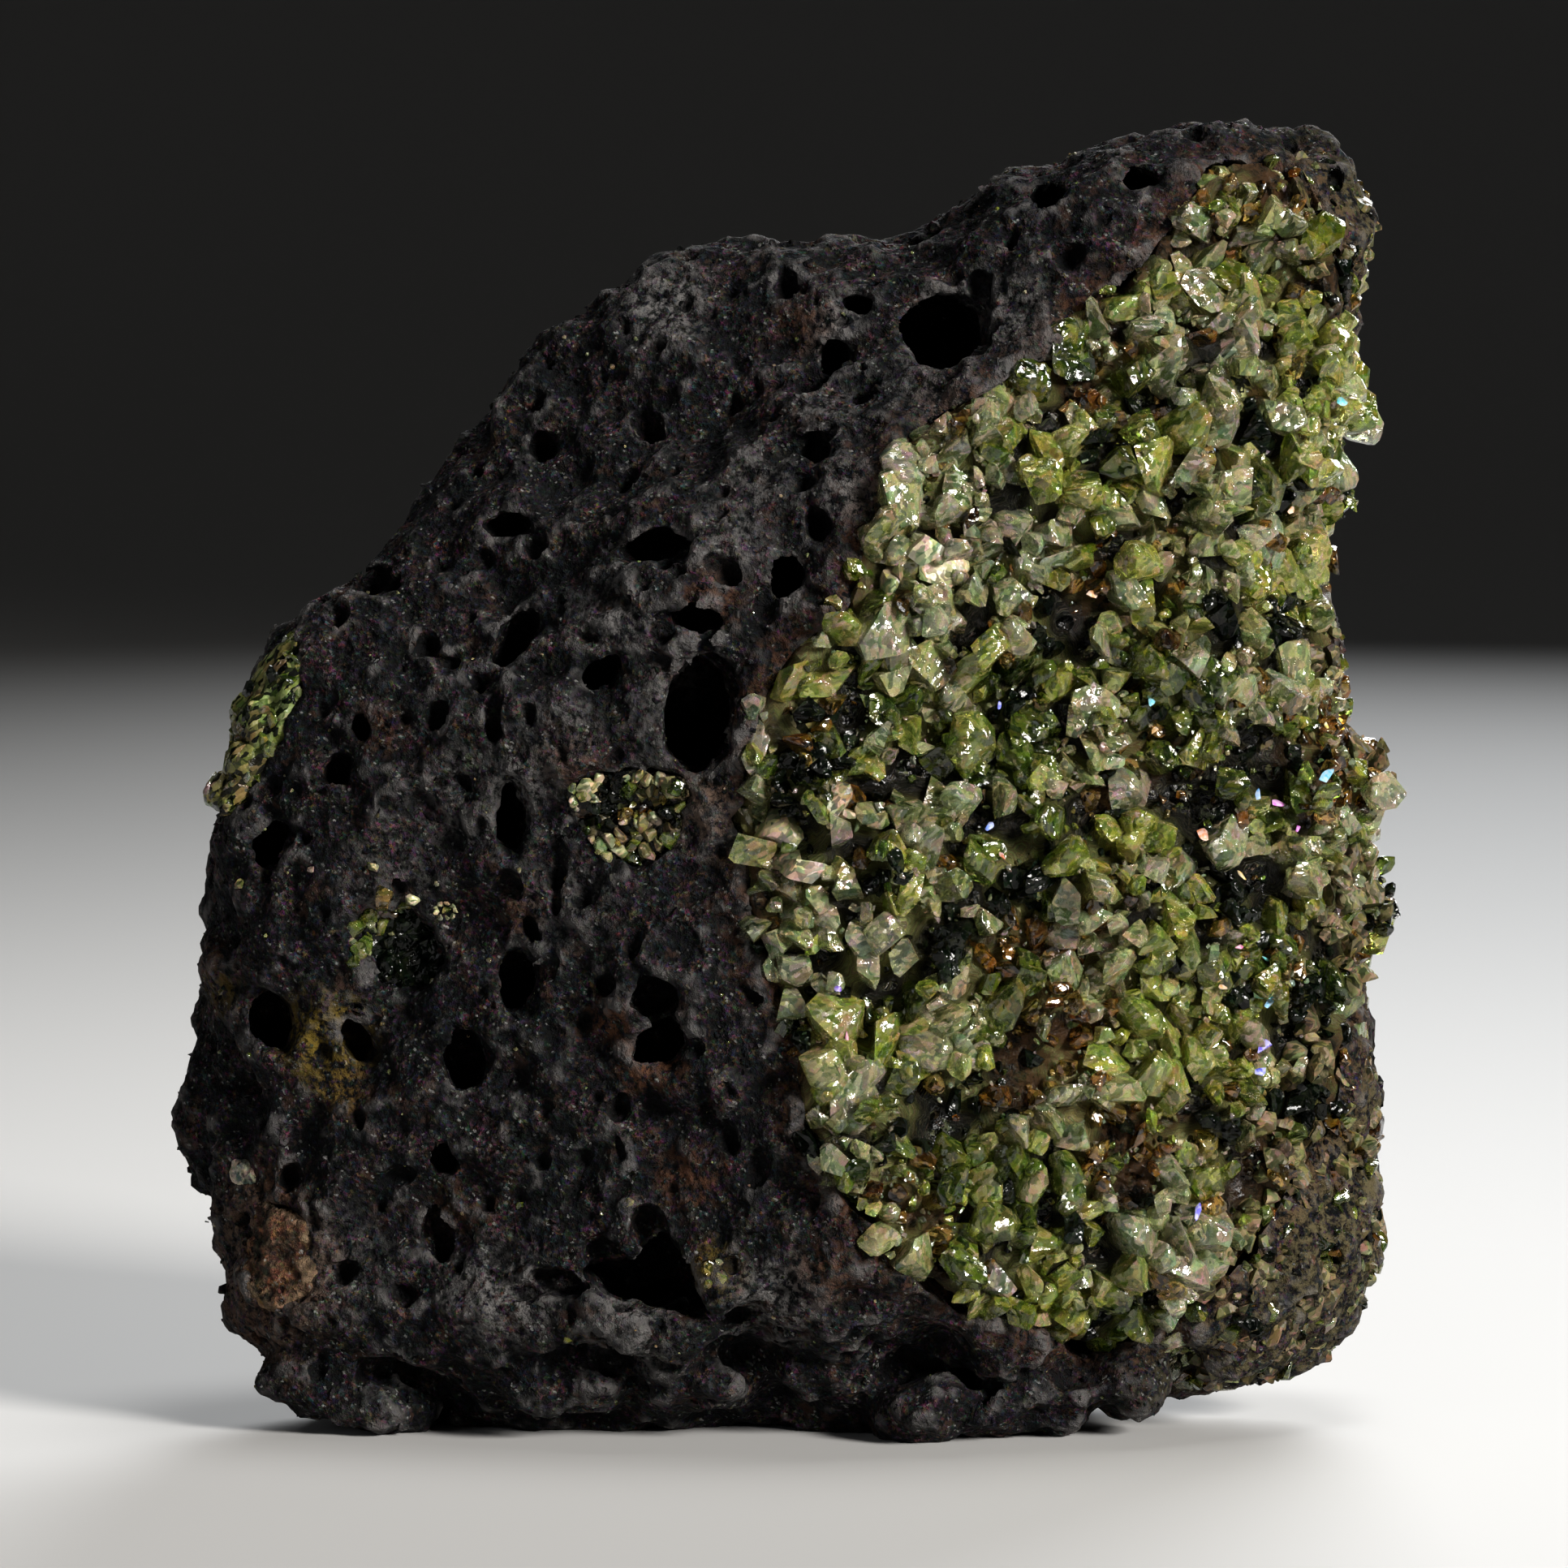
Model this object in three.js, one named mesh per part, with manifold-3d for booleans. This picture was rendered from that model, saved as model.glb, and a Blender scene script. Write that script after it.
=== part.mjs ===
// A hand specimen of peridot: a nodule of intergrown olivine crystals held in a block of vesicular basalt,
// with a few smaller mineral inclusions. Millimetres, +Z up, front towards -Y, origin under the block's middle.
import * as THREE from "three";
import { ConvexGeometry } from "three/addons/geometries/ConvexGeometry.js";
import { ImprovedNoise } from "three/addons/math/ImprovedNoise.js";
import { mergeVertices } from "three/addons/utils/BufferGeometryUtils.js";
import Module from "manifold-3d";

const wasm = await Module();
wasm.setup();

// The block of basalt and nodule together
const FRONT_RIM_DEPTH = 25; // how far the front would bulge if no fracture face cut it
const BACK_RIM_DEPTH = 27;
const BODY_DETAIL = 9; // subdivisions of the icosahedron that becomes the block
const FRONT_PULL = 0.25; // draws the block's points together on the front, where the detail is
const EDGE_SHARPNESS = 2.4; // larger makes the edges between fracture faces crisper
const LUMP_SIZE = 8;
const LUMP_HEIGHT = 1.9;
const GRIT_SIZE = 3.1;
const GRIT_HEIGHT = 0.9;

// The block's outline seen from the front, as x, z, round this middle
const MIDDLE = { x: 0, z: 33 };
const BLOCK_OUTLINE = [
  [-5.9, 66.3], [-10.4, 63.7], [-14.9, 60.4], [-19.3, 54.3], [-24.4, 49.3], [-30.1, 42.3], [-32.5, 36.1],
  [-32.8, 28.2], [-34.1, 22.8], [-34.7, 17.8], [-34.4, 13.6], [-33.3, 8.3], [-31.9, 5.2], [-28.4, 1.9],
  [-24.2, -0.9], [-18, -1.4], [-8, -1.6], [2, -1.6], [9, -1.4], [17, -1], [21.6, 1.2],
  [26.4, 1.9], [31.6, 3.7], [33.2, 7.8], [34.2, 14.2], [34.7, 18.9], [34, 22.4], [32.3, 26.2],
  [33.5, 29.8], [31.9, 33.6], [33, 38], [31.6, 41.9], [32.6, 44.6], [30.4, 47.6], [29.9, 51.6],
  [31.2, 55.6], [32.6, 58.6], [32.3, 62], [33, 65.4], [34, 68.2], [32.9, 71.4], [28.6, 73.4],
  [23.3, 74], [17.2, 72.8], [11.9, 70.6], [8.4, 67.9], [5.2, 66.7], [0.5, 66.8],
];

// Fracture faces. Each is a plane: its depth at one point (x, z), and how that changes to the side and upwards.
const FRONT_FACES = [
  { x: -2, z: 22, depth: 17.6, perX: 0.28, perZ: -0.03 }, // lower left, bare basalt
  { x: -6, z: 46, depth: 16.2, perX: 0.4, perZ: -0.68 }, // upper left, sloping away
  { x: 6, z: 30, depth: 17.8, perX: -0.2, perZ: -0.02 }, // the nodule's face
  { x: 24, z: 40, depth: 13.9, perX: -0.62, perZ: 0.03 }, // its right flank
  { x: 20, z: 56, depth: 14.2, perX: -0.1, perZ: -0.36 }, // up to the top corner
  { x: -30, z: 20, depth: 8.6, perX: 1.1, perZ: 0.05 }, // left edge
  { x: 5, z: 8, depth: 16.8, perX: 0, perZ: 0.5 }, // lower lip
];
const BACK_FACES = [
  { x: 0, z: 34, depth: 18.6, perX: -0.1, perZ: -0.05 },
  { x: -20, z: 30, depth: 13.4, perX: 0.62, perZ: -0.1 },
  { x: 20, z: 34, depth: 15.2, perX: -0.55, perZ: 0.06 },
  { x: 4, z: 58, depth: 13.6, perX: 0.12, perZ: -0.6 },
  { x: 2, z: 8, depth: 15.2, perX: 0.05, perZ: 0.42 },
];

// Corners broken off the back and the left: a point of each break, and the way that it faces
const BREAKS = [
  { point: [27, 10, 36], facing: [0.72, 0.68, 0.12] },
  { point: [4, 13, 56], facing: [-0.15, 0.72, 0.68] },
  { point: [-22, 9, 16], facing: [-0.66, 0.7, -0.28] },
  { point: [-21, 3, 51], facing: [-0.7, 0.32, 0.64] },
  { point: [16, 12, 12], facing: [0.35, 0.72, -0.6] },
].map(({ point, facing }) => ({ point: new THREE.Vector3(...point), facing: new THREE.Vector3(...facing).normalize() }));

// Ridges on the front, as x, z along each, with how far it stands out and its width
const RIDGES = [
  { height: 1.7, width: 3, line: [[-32.5, 35.5], [-14.8, 40], [-6.2, 48.1], [4.1, 55.3], [14.9, 65.6]] },
  { height: 1.5, width: 2.6, line: [[-30, 7.6], [-20, 7.4], [-14, 8], [-3, 9], [6, 9.6]] },
  { height: 1.2, width: 1.6, line: [[-12.5, 40.6], [-9.4, 46.9], [-4.2, 48.6], [2.9, 52.8]] },
  { height: 1.1, width: 1.8, line: [[-27, 27], [-21, 31.4], [-13, 31.2]] },
  { height: 1.3, width: 2, line: [[-8, 29], [-4, 20], [-2, 12]] },
];

// The underside: the front lip overhangs scallops, and lumps of basalt stand in them. behind is from the lip's face.
const LIP_HEIGHT = 8;
const SCALLOP_BEHIND = 1;
const SCALLOP_DEPTH = 15;
const LIP_SCALLOPS = [
  { x: -22.5, top: 4.9, wide: 12 },
  { x: -12, top: 6.3, wide: 14 },
  { x: -1.5, top: 7, wide: 13 },
  { x: 7.5, top: 7.2, wide: 11 },
  { x: 16, top: 4.3, wide: 12 },
  { x: 22.6, top: 6.2, wide: 4 },
];
const FOOT_LUMPS = [
  { x: -24.8, behind: 4.6, z: 2.3, wide: 11, deep: 8.4, high: 4.6, turn: 15 },
  { x: -12.8, behind: 6, z: 3.7, wide: 9.6, deep: 8, high: 4.8, turn: 8 },
  { x: -4.4, behind: 7, z: 3.4, wide: 7.4, deep: 7, high: 3.8, turn: -6 },
  { x: 1.6, behind: 7, z: 4, wide: 8, deep: 6.6, high: 3.8, turn: 10 },
  { x: 7.4, behind: 5.5, z: 1.6, wide: 6, deep: 7.6, high: 4.6, turn: -14 },
  { x: 13.4, behind: 5.5, z: 1.9, wide: 9.8, deep: 8, high: 4.2, turn: -8 },
  { x: 19.2, behind: 4.5, z: 2.7, wide: 6, deep: 7, high: 3.8, turn: 6 },
];

// The ragged opening just above the lip, as x, z
const LIP_CAVITY = [[-12.6, 10.1], [-9.3, 10.3], [-6.9, 12.6], [-5.4, 10.9], [-3.6, 7.6], [-8, 7.3]];
const LIP_CAVITY_DEPTH = 9;

// The nodule's edge seen from the front. Past x = 34 it lies outside the block, where the nodule wraps the side.
const NODULE_MIDDLE = { x: 16, y: -7, z: 41 };
const NODULE_RADII = { x: 23, y: 13, z: 33 }; // of its rounded rear, inside the block
const NODULE_OUTLINE = [
  [26.6, 71.9], [23.9, 70.8], [21.2, 67.4], [19.4, 64.7], [16.3, 63.4], [14.5, 60.7], [9.5, 58],
  [6.4, 55.7], [5.6, 53.2], [4.1, 50.3], [3.7, 47.2], [1.4, 45.4], [-0.4, 43.1], [-1.7, 40.9],
  [-2.8, 35], [-1.9, 32.8], [-2.2, 30.1], [-0.1, 24.7], [0.8, 21.5], [0.8, 18.4], [3.2, 14.1],
  [5, 13], [6.4, 10.3], [10, 7.8], [12.7, 6.9], [16.7, 4.7], [19.4, 5.2], [23.5, 7.8], [26, 10.3],
  [29.3, 15.2], [31.1, 18.4], [31.3, 22], [32.5, 25.1], [38, 27], [38, 41], [31, 42.6], [30.7, 46.4],
  [38, 52], [38, 60.8], [31.6, 61], [31.1, 63.6], [30.7, 67], [29.3, 70.4],
];
const SOCKET_GAP = 0.3; // between a mineral and the basalt round it

// Crystals: convex forms with flat faces, grown together with what they stand on
const CRYSTAL_CORNERS = 9;
const CRYSTAL_SUNK = 0.35; // share of its radius that a crystal's middle lies under the surface
const GOLDEN_ANGLE = Math.PI * (3 - Math.sqrt(5));
const NODULE_CRYSTALS = { spacing: 4.8, least: 1.8, most: 3.1 };
const CLUSTER_CRYSTALS = { spacing: 2.4, least: 1, most: 1.6 };

// Gas bubbles that the front cuts: x, z, width, height, and how far the top leans right, in degrees
const FRONT_BUBBLES = [
  [-4.7, 41.2, 4.6, 7.4, 12], [-15.3, 35.3, 2.7, 5, 0], [-4.3, 46.2, 3.4, 1.9, 8],
  [-6.8, 49.9, 4.4, 2, -15], [-14.8, 44.6, 2, 4.2, 35], [-10, 43, 3.6, 1.6, -38], [0.2, 48.6, 2.6, 3.6, 10],
  [3, 60.5, 1.8, 2.8, 15], [8.9, 62, 5.2, 5.4, 20], [-15.3, 50.9, 3, 1.6, -10],
  [-23.1, 47.9, 2.4, 1.8, -30], [-23.5, 40, 1.4, 2, 0], [-24.7, 37.6, 1.8, 2.2, 20],
  [-28.6, 33.2, 2.1, 3.8, 25], [1.9, 55.5, 2.2, 2, 0], [4.5, 63.4, 2.5, 1.2, 8],
  [14.9, 69.4, 2.6, 1.7, -25], [19.9, 70.3, 2.6, 1.9, 0], [-28.7, 23.2, 2.6, 4.5, -24],
  [-23.8, 22.4, 1.7, 3, -24], [-14.9, 25.9, 2.5, 4, 4], [-17.5, 21.3, 2.6, 3.9, 0], [-6.8, 25.3, 3, 3, 0],
  [-6.8, 22.7, 4, 3, -30], [-18.8, 15.8, 1.8, 2.3, 0],
];
const BUBBLE_DEPTH = 1.5; // as a share of the opening
const BUBBLE_SUNK = 0.15;
const LARGE_BUBBLE = 3.8; // bubbles at least this long are modelled rounder
const BACK_BUBBLES = 11;
const BACK_BUBBLE_SPACING = 7;

// Smaller minerals set in the basalt. out is the way that each one faces.
const FRONT = new THREE.Vector3(0, -1, 0);
const INCLUSIONS = {
  side_peridot_cluster: {
    x: -29.8, z: 39.6, wide: 5.6, deep: 6, high: 14, turn: 30,
    out: new THREE.Vector3(-0.72, -0.68, 0.15), crystals: true, material: "peridot",
  },
  small_peridot_cluster: { x: -8.7, z: 35.4, wide: 7.2, deep: 5, high: 6.6, turn: 0, crystals: true, material: "peridot" },
  pocket_peridot_cluster: { x: -21.6, z: 27.8, wide: 4.8, deep: 5, high: 7, turn: -35, crystals: true, material: "dark" },
  tan_inclusion: { x: -28.6, z: 9.8, wide: 5.2, deep: 4.4, high: 7.2, turn: -8, material: "tan" },
  pale_grain: { x: -30.5, z: 14.4, wide: 2.1, deep: 1.8, high: 1.7, turn: 20, material: "pale" },
};
const INCLUSION_REACH = 8; // how far the form that shapes an inclusion runs outwards

const MATERIALS = {
  basalt: new THREE.MeshStandardMaterial({ color: 0x57514f, roughness: 0.95, metalness: 0 }),
  peridot: new THREE.MeshStandardMaterial({ color: 0x9aac62, roughness: 0.25, metalness: 0 }),
  dark: new THREE.MeshStandardMaterial({ color: 0x54602c, roughness: 0.3, metalness: 0 }),
  tan: new THREE.MeshStandardMaterial({ color: 0x8a7058, roughness: 0.9, metalness: 0 }),
  pale: new THREE.MeshStandardMaterial({ color: 0xbfb8a8, roughness: 0.6, metalness: 0 }),
};

const noise = new ImprovedNoise();
THREE.MathUtils.seededRandom(7);
const random = () => THREE.MathUtils.seededRandom();
const between = (low, high) => low + (high - low) * random();

// Repeatable roughness of the rock at a point, from about -1 to 1
function roughness(point, size) {
  return noise.noise(point.x / size + 11.3, point.y / size + 5.7, point.z / size + 2.9);
}

// A closed geometry as a solid that can be cut and joined
function solidOf(geometry) {
  const plain = new THREE.BufferGeometry().setAttribute("position", geometry.getAttribute("position"));
  if (geometry.index) plain.setIndex(geometry.index);
  const merged = mergeVertices(plain, 1e-4);
  return new wasm.Manifold(
    new wasm.Mesh({
      numProp: 3,
      vertProperties: new Float32Array(merged.getAttribute("position").array),
      triVerts: new Uint32Array(merged.index.array),
    }),
  );
}

// A solid as a named mesh, flat shaded so that each face shows
function meshOf(solid, name, material) {
  const data = solid.getMesh();
  const geometry = new THREE.BufferGeometry();
  geometry.setAttribute("position", new THREE.BufferAttribute(data.vertProperties, 3));
  geometry.setIndex(new THREE.BufferAttribute(data.triVerts, 1));
  const flat = geometry.toNonIndexed();
  flat.computeVertexNormals();
  const mesh = new THREE.Mesh(flat, material);
  mesh.name = name;
  return mesh;
}

const join = (solids) => wasm.Manifold.union(solids);

// The biggest piece of a solid, without the crumbs that cutting leaves
function largest(solid) {
  return solid.decompose().reduce((a, b) => (a.volume() > b.volume() ? a : b));
}

// Distance from the block's middle to its outline, for every direction in the front view
function makeRim() {
  const corners = BLOCK_OUTLINE.map(([x, z]) => new THREE.Vector3(x - MIDDLE.x, z - MIDDLE.z, 0));
  const curve = new THREE.CatmullRomCurve3(corners, true, "centripetal");
  const samples = curve.getPoints(720).map((p) => ({ angle: Math.atan2(p.y, p.x), radius: Math.hypot(p.x, p.y) }));
  samples.sort((a, b) => a.angle - b.angle);
  const first = samples[0];
  const last = samples[samples.length - 1];
  samples.unshift({ angle: last.angle - 2 * Math.PI, radius: last.radius });
  samples.push({ angle: first.angle + 2 * Math.PI, radius: first.radius });
  return (angle) => {
    const next = Math.max(samples.findIndex((s) => s.angle >= angle), 1);
    const [a, b] = [samples[next - 1], samples[next]];
    const share = b.angle > a.angle ? (angle - a.angle) / (b.angle - a.angle) : 0;
    return a.radius + (b.radius - a.radius) * share;
  };
}
const rimRadius = makeRim();

// The least of several depths, rounded where two of them cross
function softLeast(depths) {
  const sum = depths.reduce((total, depth) => total + Math.exp(-EDGE_SHARPNESS * depth), 0);
  return -Math.log(sum) / EDGE_SHARPNESS;
}

// How far the surface lies from the rim's plane. upright is 1 in the middle of the face and 0 at the rim.
function faceDepth(x, z, upright, faces, rimDepth) {
  const planes = faces.map((f) => f.depth + f.perX * (x - f.x) + f.perZ * (z - f.z));
  const rim = rimDepth * upright;
  return Math.min(rim, Math.max(softLeast([...planes, rim]), 0));
}

// The point of the block's surface that a unit direction maps to
function surfacePoint(direction) {
  const angle = Math.atan2(direction.z, direction.x);
  const radius = Math.hypot(direction.x, direction.z) * rimRadius(angle);
  const x = MIDDLE.x + radius * Math.cos(angle);
  const z = MIDDLE.z + radius * Math.sin(angle);
  const upright = Math.abs(direction.y);
  const y =
    direction.y < 0
      ? -faceDepth(x, z, upright, FRONT_FACES, FRONT_RIM_DEPTH)
      : faceDepth(x, z, upright, BACK_FACES, BACK_RIM_DEPTH);
  const point = new THREE.Vector3(x, y, z);
  for (const { point: origin, facing } of BREAKS) {
    const outside = point.clone().sub(origin).dot(facing);
    if (outside > 0) point.addScaledVector(facing, -outside);
  }
  if (direction.y < 0) point.y -= ridgeLift(x, z) * upright;
  const swell = LUMP_HEIGHT * roughness(point, LUMP_SIZE) + GRIT_HEIGHT * roughness(point, GRIT_SIZE);
  return point.addScaledVector(direction, swell);
}

// How far the ridges lift the front at a point of the front view
function ridgeLift(x, z) {
  const place = new THREE.Vector3(x, 0, z);
  const nearest = new THREE.Vector3();
  return RIDGES.reduce((lift, { height, width, line }) => {
    const gaps = line.slice(1).map((end, i) => {
      const [from, to] = [line[i], end].map(([a, b]) => new THREE.Vector3(a, 0, b));
      return new THREE.Line3(from, to).closestPointToPoint(place, true, nearest).distanceTo(place);
    });
    const gap = Math.min(...gaps) / width;
    return Math.max(lift, height * Math.exp(-gap * gap));
  }, 0);
}

// y of the front surface behind a point of the front view
function frontY(x, z) {
  const angle = Math.atan2(z - MIDDLE.z, x - MIDDLE.x);
  const reach = Math.min(Math.hypot(x - MIDDLE.x, z - MIDDLE.z) / rimRadius(angle), 0.999);
  const towards = new THREE.Vector3(reach * Math.cos(angle), -Math.sqrt(1 - reach * reach), reach * Math.sin(angle));
  return surfacePoint(towards).y;
}

// An icosahedron stretched into a form that is wide, deep and high, roughened, and turned in the front view
function lumpGeometry({ x, y, z, wide, deep, high, turn = 0 }, detail, rough) {
  const geometry = new THREE.IcosahedronGeometry(1, detail);
  const position = geometry.getAttribute("position");
  const point = new THREE.Vector3();
  for (let i = 0; i < position.count; i++) {
    point.fromBufferAttribute(position, i);
    const swell = noise.noise(point.x * 1.7 + x, point.y * 1.7 + z, point.z * 1.7 - x);
    point.multiplyScalar(1 + rough * swell);
    position.setXYZ(i, point.x, point.y, point.z);
  }
  geometry.scale(wide / 2, deep / 2, high / 2);
  geometry.rotateY(THREE.MathUtils.degToRad(turn));
  geometry.translate(x, y, z);
  return geometry;
}

function lump(form, detail, rough) {
  return solidOf(lumpGeometry(form, detail, rough));
}

// A box given by its lowest and highest corners
function box(low, high) {
  const size = high.map((value, axis) => value - low[axis]);
  const geometry = new THREE.BoxGeometry(...size);
  geometry.translate(...low.map((value, axis) => value + size[axis] / 2));
  return solidOf(geometry);
}

// The specimen's outer shape, before anything is cut from it
function blockBody() {
  const geometry = new THREE.IcosahedronGeometry(1, BODY_DETAIL);
  const position = geometry.getAttribute("position");
  const direction = new THREE.Vector3();
  for (let i = 0; i < position.count; i++) {
    direction.fromBufferAttribute(position, i).normalize();
    direction.y -= FRONT_PULL;
    const point = surfacePoint(direction.normalize());
    position.setXYZ(i, point.x, point.y, point.z);
  }
  return solidOf(geometry);
}

// A front-view outline carried through the block from one y to another
function prism(outline, fromY, toY) {
  const shape = new THREE.Shape(outline.map(([x, z]) => new THREE.Vector2(x, z)));
  const geometry = new THREE.ExtrudeGeometry(shape, { depth: toY - fromY, bevelEnabled: false });
  geometry.rotateX(Math.PI / 2); // the outline's second axis becomes +Z, and the depth runs towards -Y
  geometry.translate(0, toY, 0);
  return solidOf(geometry);
}

// The space that the nodule takes, smaller all round by the clearance
function noduleSpace(clearance) {
  const scale = 1 - clearance / NODULE_MIDDLE.x;
  const outline = NODULE_OUTLINE.map(([x, z]) => [
    NODULE_MIDDLE.x + (x - NODULE_MIDDLE.x) * scale,
    NODULE_MIDDLE.z + (z - NODULE_MIDDLE.z) * scale,
  ]);
  const rear = lump(
    {
      ...NODULE_MIDDLE,
      wide: 2 * (NODULE_RADII.x - clearance),
      deep: 2 * (NODULE_RADII.y - clearance),
      high: 2 * (NODULE_RADII.z - clearance),
    },
    3,
    0.05,
  );
  const ahead = box([-60, -60, -40], [80, NODULE_MIDDLE.y, 120]);
  return prism(outline, -50, 30).intersect(rear.add(ahead));
}

// True where a point of the block's surface belongs to the nodule
function onNodule(point) {
  const behind = Math.max(point.y - NODULE_MIDDLE.y, 0) / NODULE_RADII.y;
  const side = (point.x - NODULE_MIDDLE.x) / NODULE_RADII.x;
  const up = (point.z - NODULE_MIDDLE.z) / NODULE_RADII.z;
  if (behind * behind + side * side + up * up > 1) return false;
  return NODULE_OUTLINE.reduce((inside, [ax, az], i) => {
    const [bx, bz] = NODULE_OUTLINE[(i + 1) % NODULE_OUTLINE.length];
    const crosses = az > point.z !== bz > point.z && point.x < ax + ((bx - ax) * (point.z - az)) / (bz - az);
    return inside !== crosses;
  }, false);
}

function randomDirection() {
  const up = between(-1, 1);
  const around = between(0, 2 * Math.PI);
  const side = Math.sqrt(1 - up * up);
  return new THREE.Vector3(side * Math.cos(around), side * Math.sin(around), up);
}

// Points of the block's surface at least spacing apart, among those that allowed() accepts
function scatter(tries, spacing, allowed) {
  const found = [];
  for (let i = 0; i < tries; i++) {
    const direction = randomDirection();
    const point = surfacePoint(direction);
    if (allowed(point) && found.every((other) => other.point.distanceTo(point) > spacing)) {
      found.push({ point, direction });
    }
  }
  return found;
}

// One crystal: the convex form of a few corners spread round its middle
function crystal(middle, radius) {
  const stretch = new THREE.Vector3(between(0.8, 1.25), between(0.8, 1.1), between(0.8, 1.25));
  const corners = [];
  for (let i = 0; i < CRYSTAL_CORNERS; i++) {
    const turn = (i + between(-0.15, 0.15)) * GOLDEN_ANGLE;
    const up = 1 - (2 * (i + 0.5)) / CRYSTAL_CORNERS;
    const side = Math.sqrt(1 - up * up);
    const corner = new THREE.Vector3(side * Math.cos(turn), side * Math.sin(turn), up);
    corners.push(corner.multiply(stretch).multiplyScalar(radius));
  }
  const geometry = new ConvexGeometry(corners);
  geometry.applyQuaternion(
    new THREE.Quaternion().setFromAxisAngle(randomDirection(), between(0, 2 * Math.PI)),
  );
  geometry.translate(middle.x, middle.y, middle.z);
  return solidOf(geometry);
}

// Crystals over the part of the block's surface that allowed() accepts
function crystalCrust({ spacing, least, most }, tries, allowed) {
  return scatter(tries, spacing, allowed).map(({ point, direction }) => {
    const radius = between(least, most);
    return crystal(point.clone().addScaledVector(direction, -CRYSTAL_SUNK * radius), radius);
  });
}

// The bubbles that the front cuts, as forms to take away
function frontBubbles() {
  return FRONT_BUBBLES.map(([x, z, wide, high, turn]) => {
    const across = (wide + high) / 2;
    const y = frontY(x, z) + BUBBLE_SUNK * across;
    const detail = Math.max(wide, high) >= LARGE_BUBBLE ? 1 : 0;
    return lump({ x, y, z, wide, deep: BUBBLE_DEPTH * across, high, turn }, detail, 0.25);
  });
}

// Bubbles over the back and the sides
function backBubbles() {
  const places = scatter(4000, BACK_BUBBLE_SPACING, (p) => p.y > 3 && p.z > 6 && !onNodule(p));
  return places.slice(0, BACK_BUBBLES).map(({ point: { x, y, z } }) => {
    const wide = between(1.8, 4.4);
    return lump({ x, y, z, wide, deep: wide, high: wide * between(0.7, 1.6), turn: between(-60, 60) }, 0, 0.25);
  });
}

// The scallops under the front lip, as forms to take away
function lipScallops() {
  return LIP_SCALLOPS.map(({ x, top, wide }) => {
    const y = frontY(x, LIP_HEIGHT) + SCALLOP_BEHIND;
    return lump({ x, y, z: 0, wide, deep: SCALLOP_DEPTH, high: 2 * top }, 1, 0.12);
  });
}

// The ragged opening above the lip, as a form to take away
function lipCavity() {
  const [x, z] = LIP_CAVITY[0];
  const rear = frontY(x, z) + LIP_CAVITY_DEPTH * 0.7;
  return prism(LIP_CAVITY, rear - LIP_CAVITY_DEPTH, rear);
}

// The lumps of basalt that stand in the recess and reach the ground
function footLumps() {
  return FOOT_LUMPS.map(({ behind, ...form }) => lump({ ...form, y: frontY(form.x, LIP_HEIGHT) + behind }, 1, 0.4));
}

// The space that an inclusion takes: an angular form carried outwards past the block's surface
function inclusionSpace(inclusion, clearance) {
  const { x, z, wide, deep, high, turn, out = FRONT } = inclusion;
  const y = frontY(x, z);
  const form = { x, y, z, wide: wide - 2 * clearance, deep: deep - 2 * clearance, high: high - 2 * clearance, turn };
  const position = lumpGeometry(form, 0, 0.35).getAttribute("position");
  const corners = [];
  for (let i = 0; i < position.count; i++) {
    const corner = new THREE.Vector3().fromBufferAttribute(position, i);
    corners.push(corner, corner.clone().addScaledVector(out, INCLUSION_REACH));
  }
  return solidOf(new ConvexGeometry(corners));
}

// An inclusion's own solid, cut off at the block's surface, with crystals where it has them
function inclusionBody(inclusion, whole) {
  const space = inclusionSpace(inclusion, SOCKET_GAP);
  const body = whole.intersect(space);
  if (!inclusion.crystals) return largest(body);
  const { x, z, wide, deep, high } = inclusion;
  const y = frontY(x, z);
  const reach = Math.max(wide, deep, high) / 2;
  const near = (p) => Math.hypot(p.x - x, p.y - y, p.z - z) < reach;
  const crystals = crystalCrust(CLUSTER_CRYSTALS, 6000, near);
  return largest(join([body, ...crystals]).intersect(space));
}

// Every piece of the specimen as a solid, with the name of its material
function buildPieces() {
  const whole = blockBody();
  const ground = box([-80, -80, -20], [80, 80, 0]);
  const noduleBody = whole.intersect(noduleSpace(SOCKET_GAP));
  const noduleCrystals = crystalCrust(NODULE_CRYSTALS, 9000, onNodule);
  const nodule = join([noduleBody, ...noduleCrystals]).intersect(noduleSpace(SOCKET_GAP)).subtract(ground);

  const footed = whole.subtract(join(lipScallops())).add(join(footLumps()));
  const sockets = Object.values(INCLUSIONS).map((inclusion) => inclusionSpace(inclusion, 0));
  const taken = join([noduleSpace(0), ...frontBubbles(), ...backBubbles(), lipCavity(), ...sockets, ground]);

  const pieces = [
    { name: "basalt_block", solid: largest(footed.subtract(taken)), material: "basalt" },
    { name: "peridot_nodule", solid: largest(nodule), material: "peridot" },
  ];
  for (const [name, inclusion] of Object.entries(INCLUSIONS)) {
    pieces.push({ name, solid: inclusionBody(inclusion, whole), material: inclusion.material });
  }
  return pieces;
}

// The pieces as meshes in one group, moved so that the origin is under the middle of the whole
function assemble() {
  const specimen = new THREE.Group();
  for (const { name, solid, material } of buildPieces()) {
    specimen.add(meshOf(solid, name, MATERIALS[material]));
  }
  const bounds = new THREE.Box3().setFromObject(specimen);
  const middle = bounds.getCenter(new THREE.Vector3());
  specimen.position.set(-middle.x, -middle.y, -bounds.min.z);
  return specimen;
}

export default assemble();
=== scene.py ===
"""Dresses a peridot specimen: a nodule of intergrown peridot crystals in a block of vesicular basalt.

Metres throughout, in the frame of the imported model: +Z up, with the photographed face towards -Y.
"""

from __future__ import annotations

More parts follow.
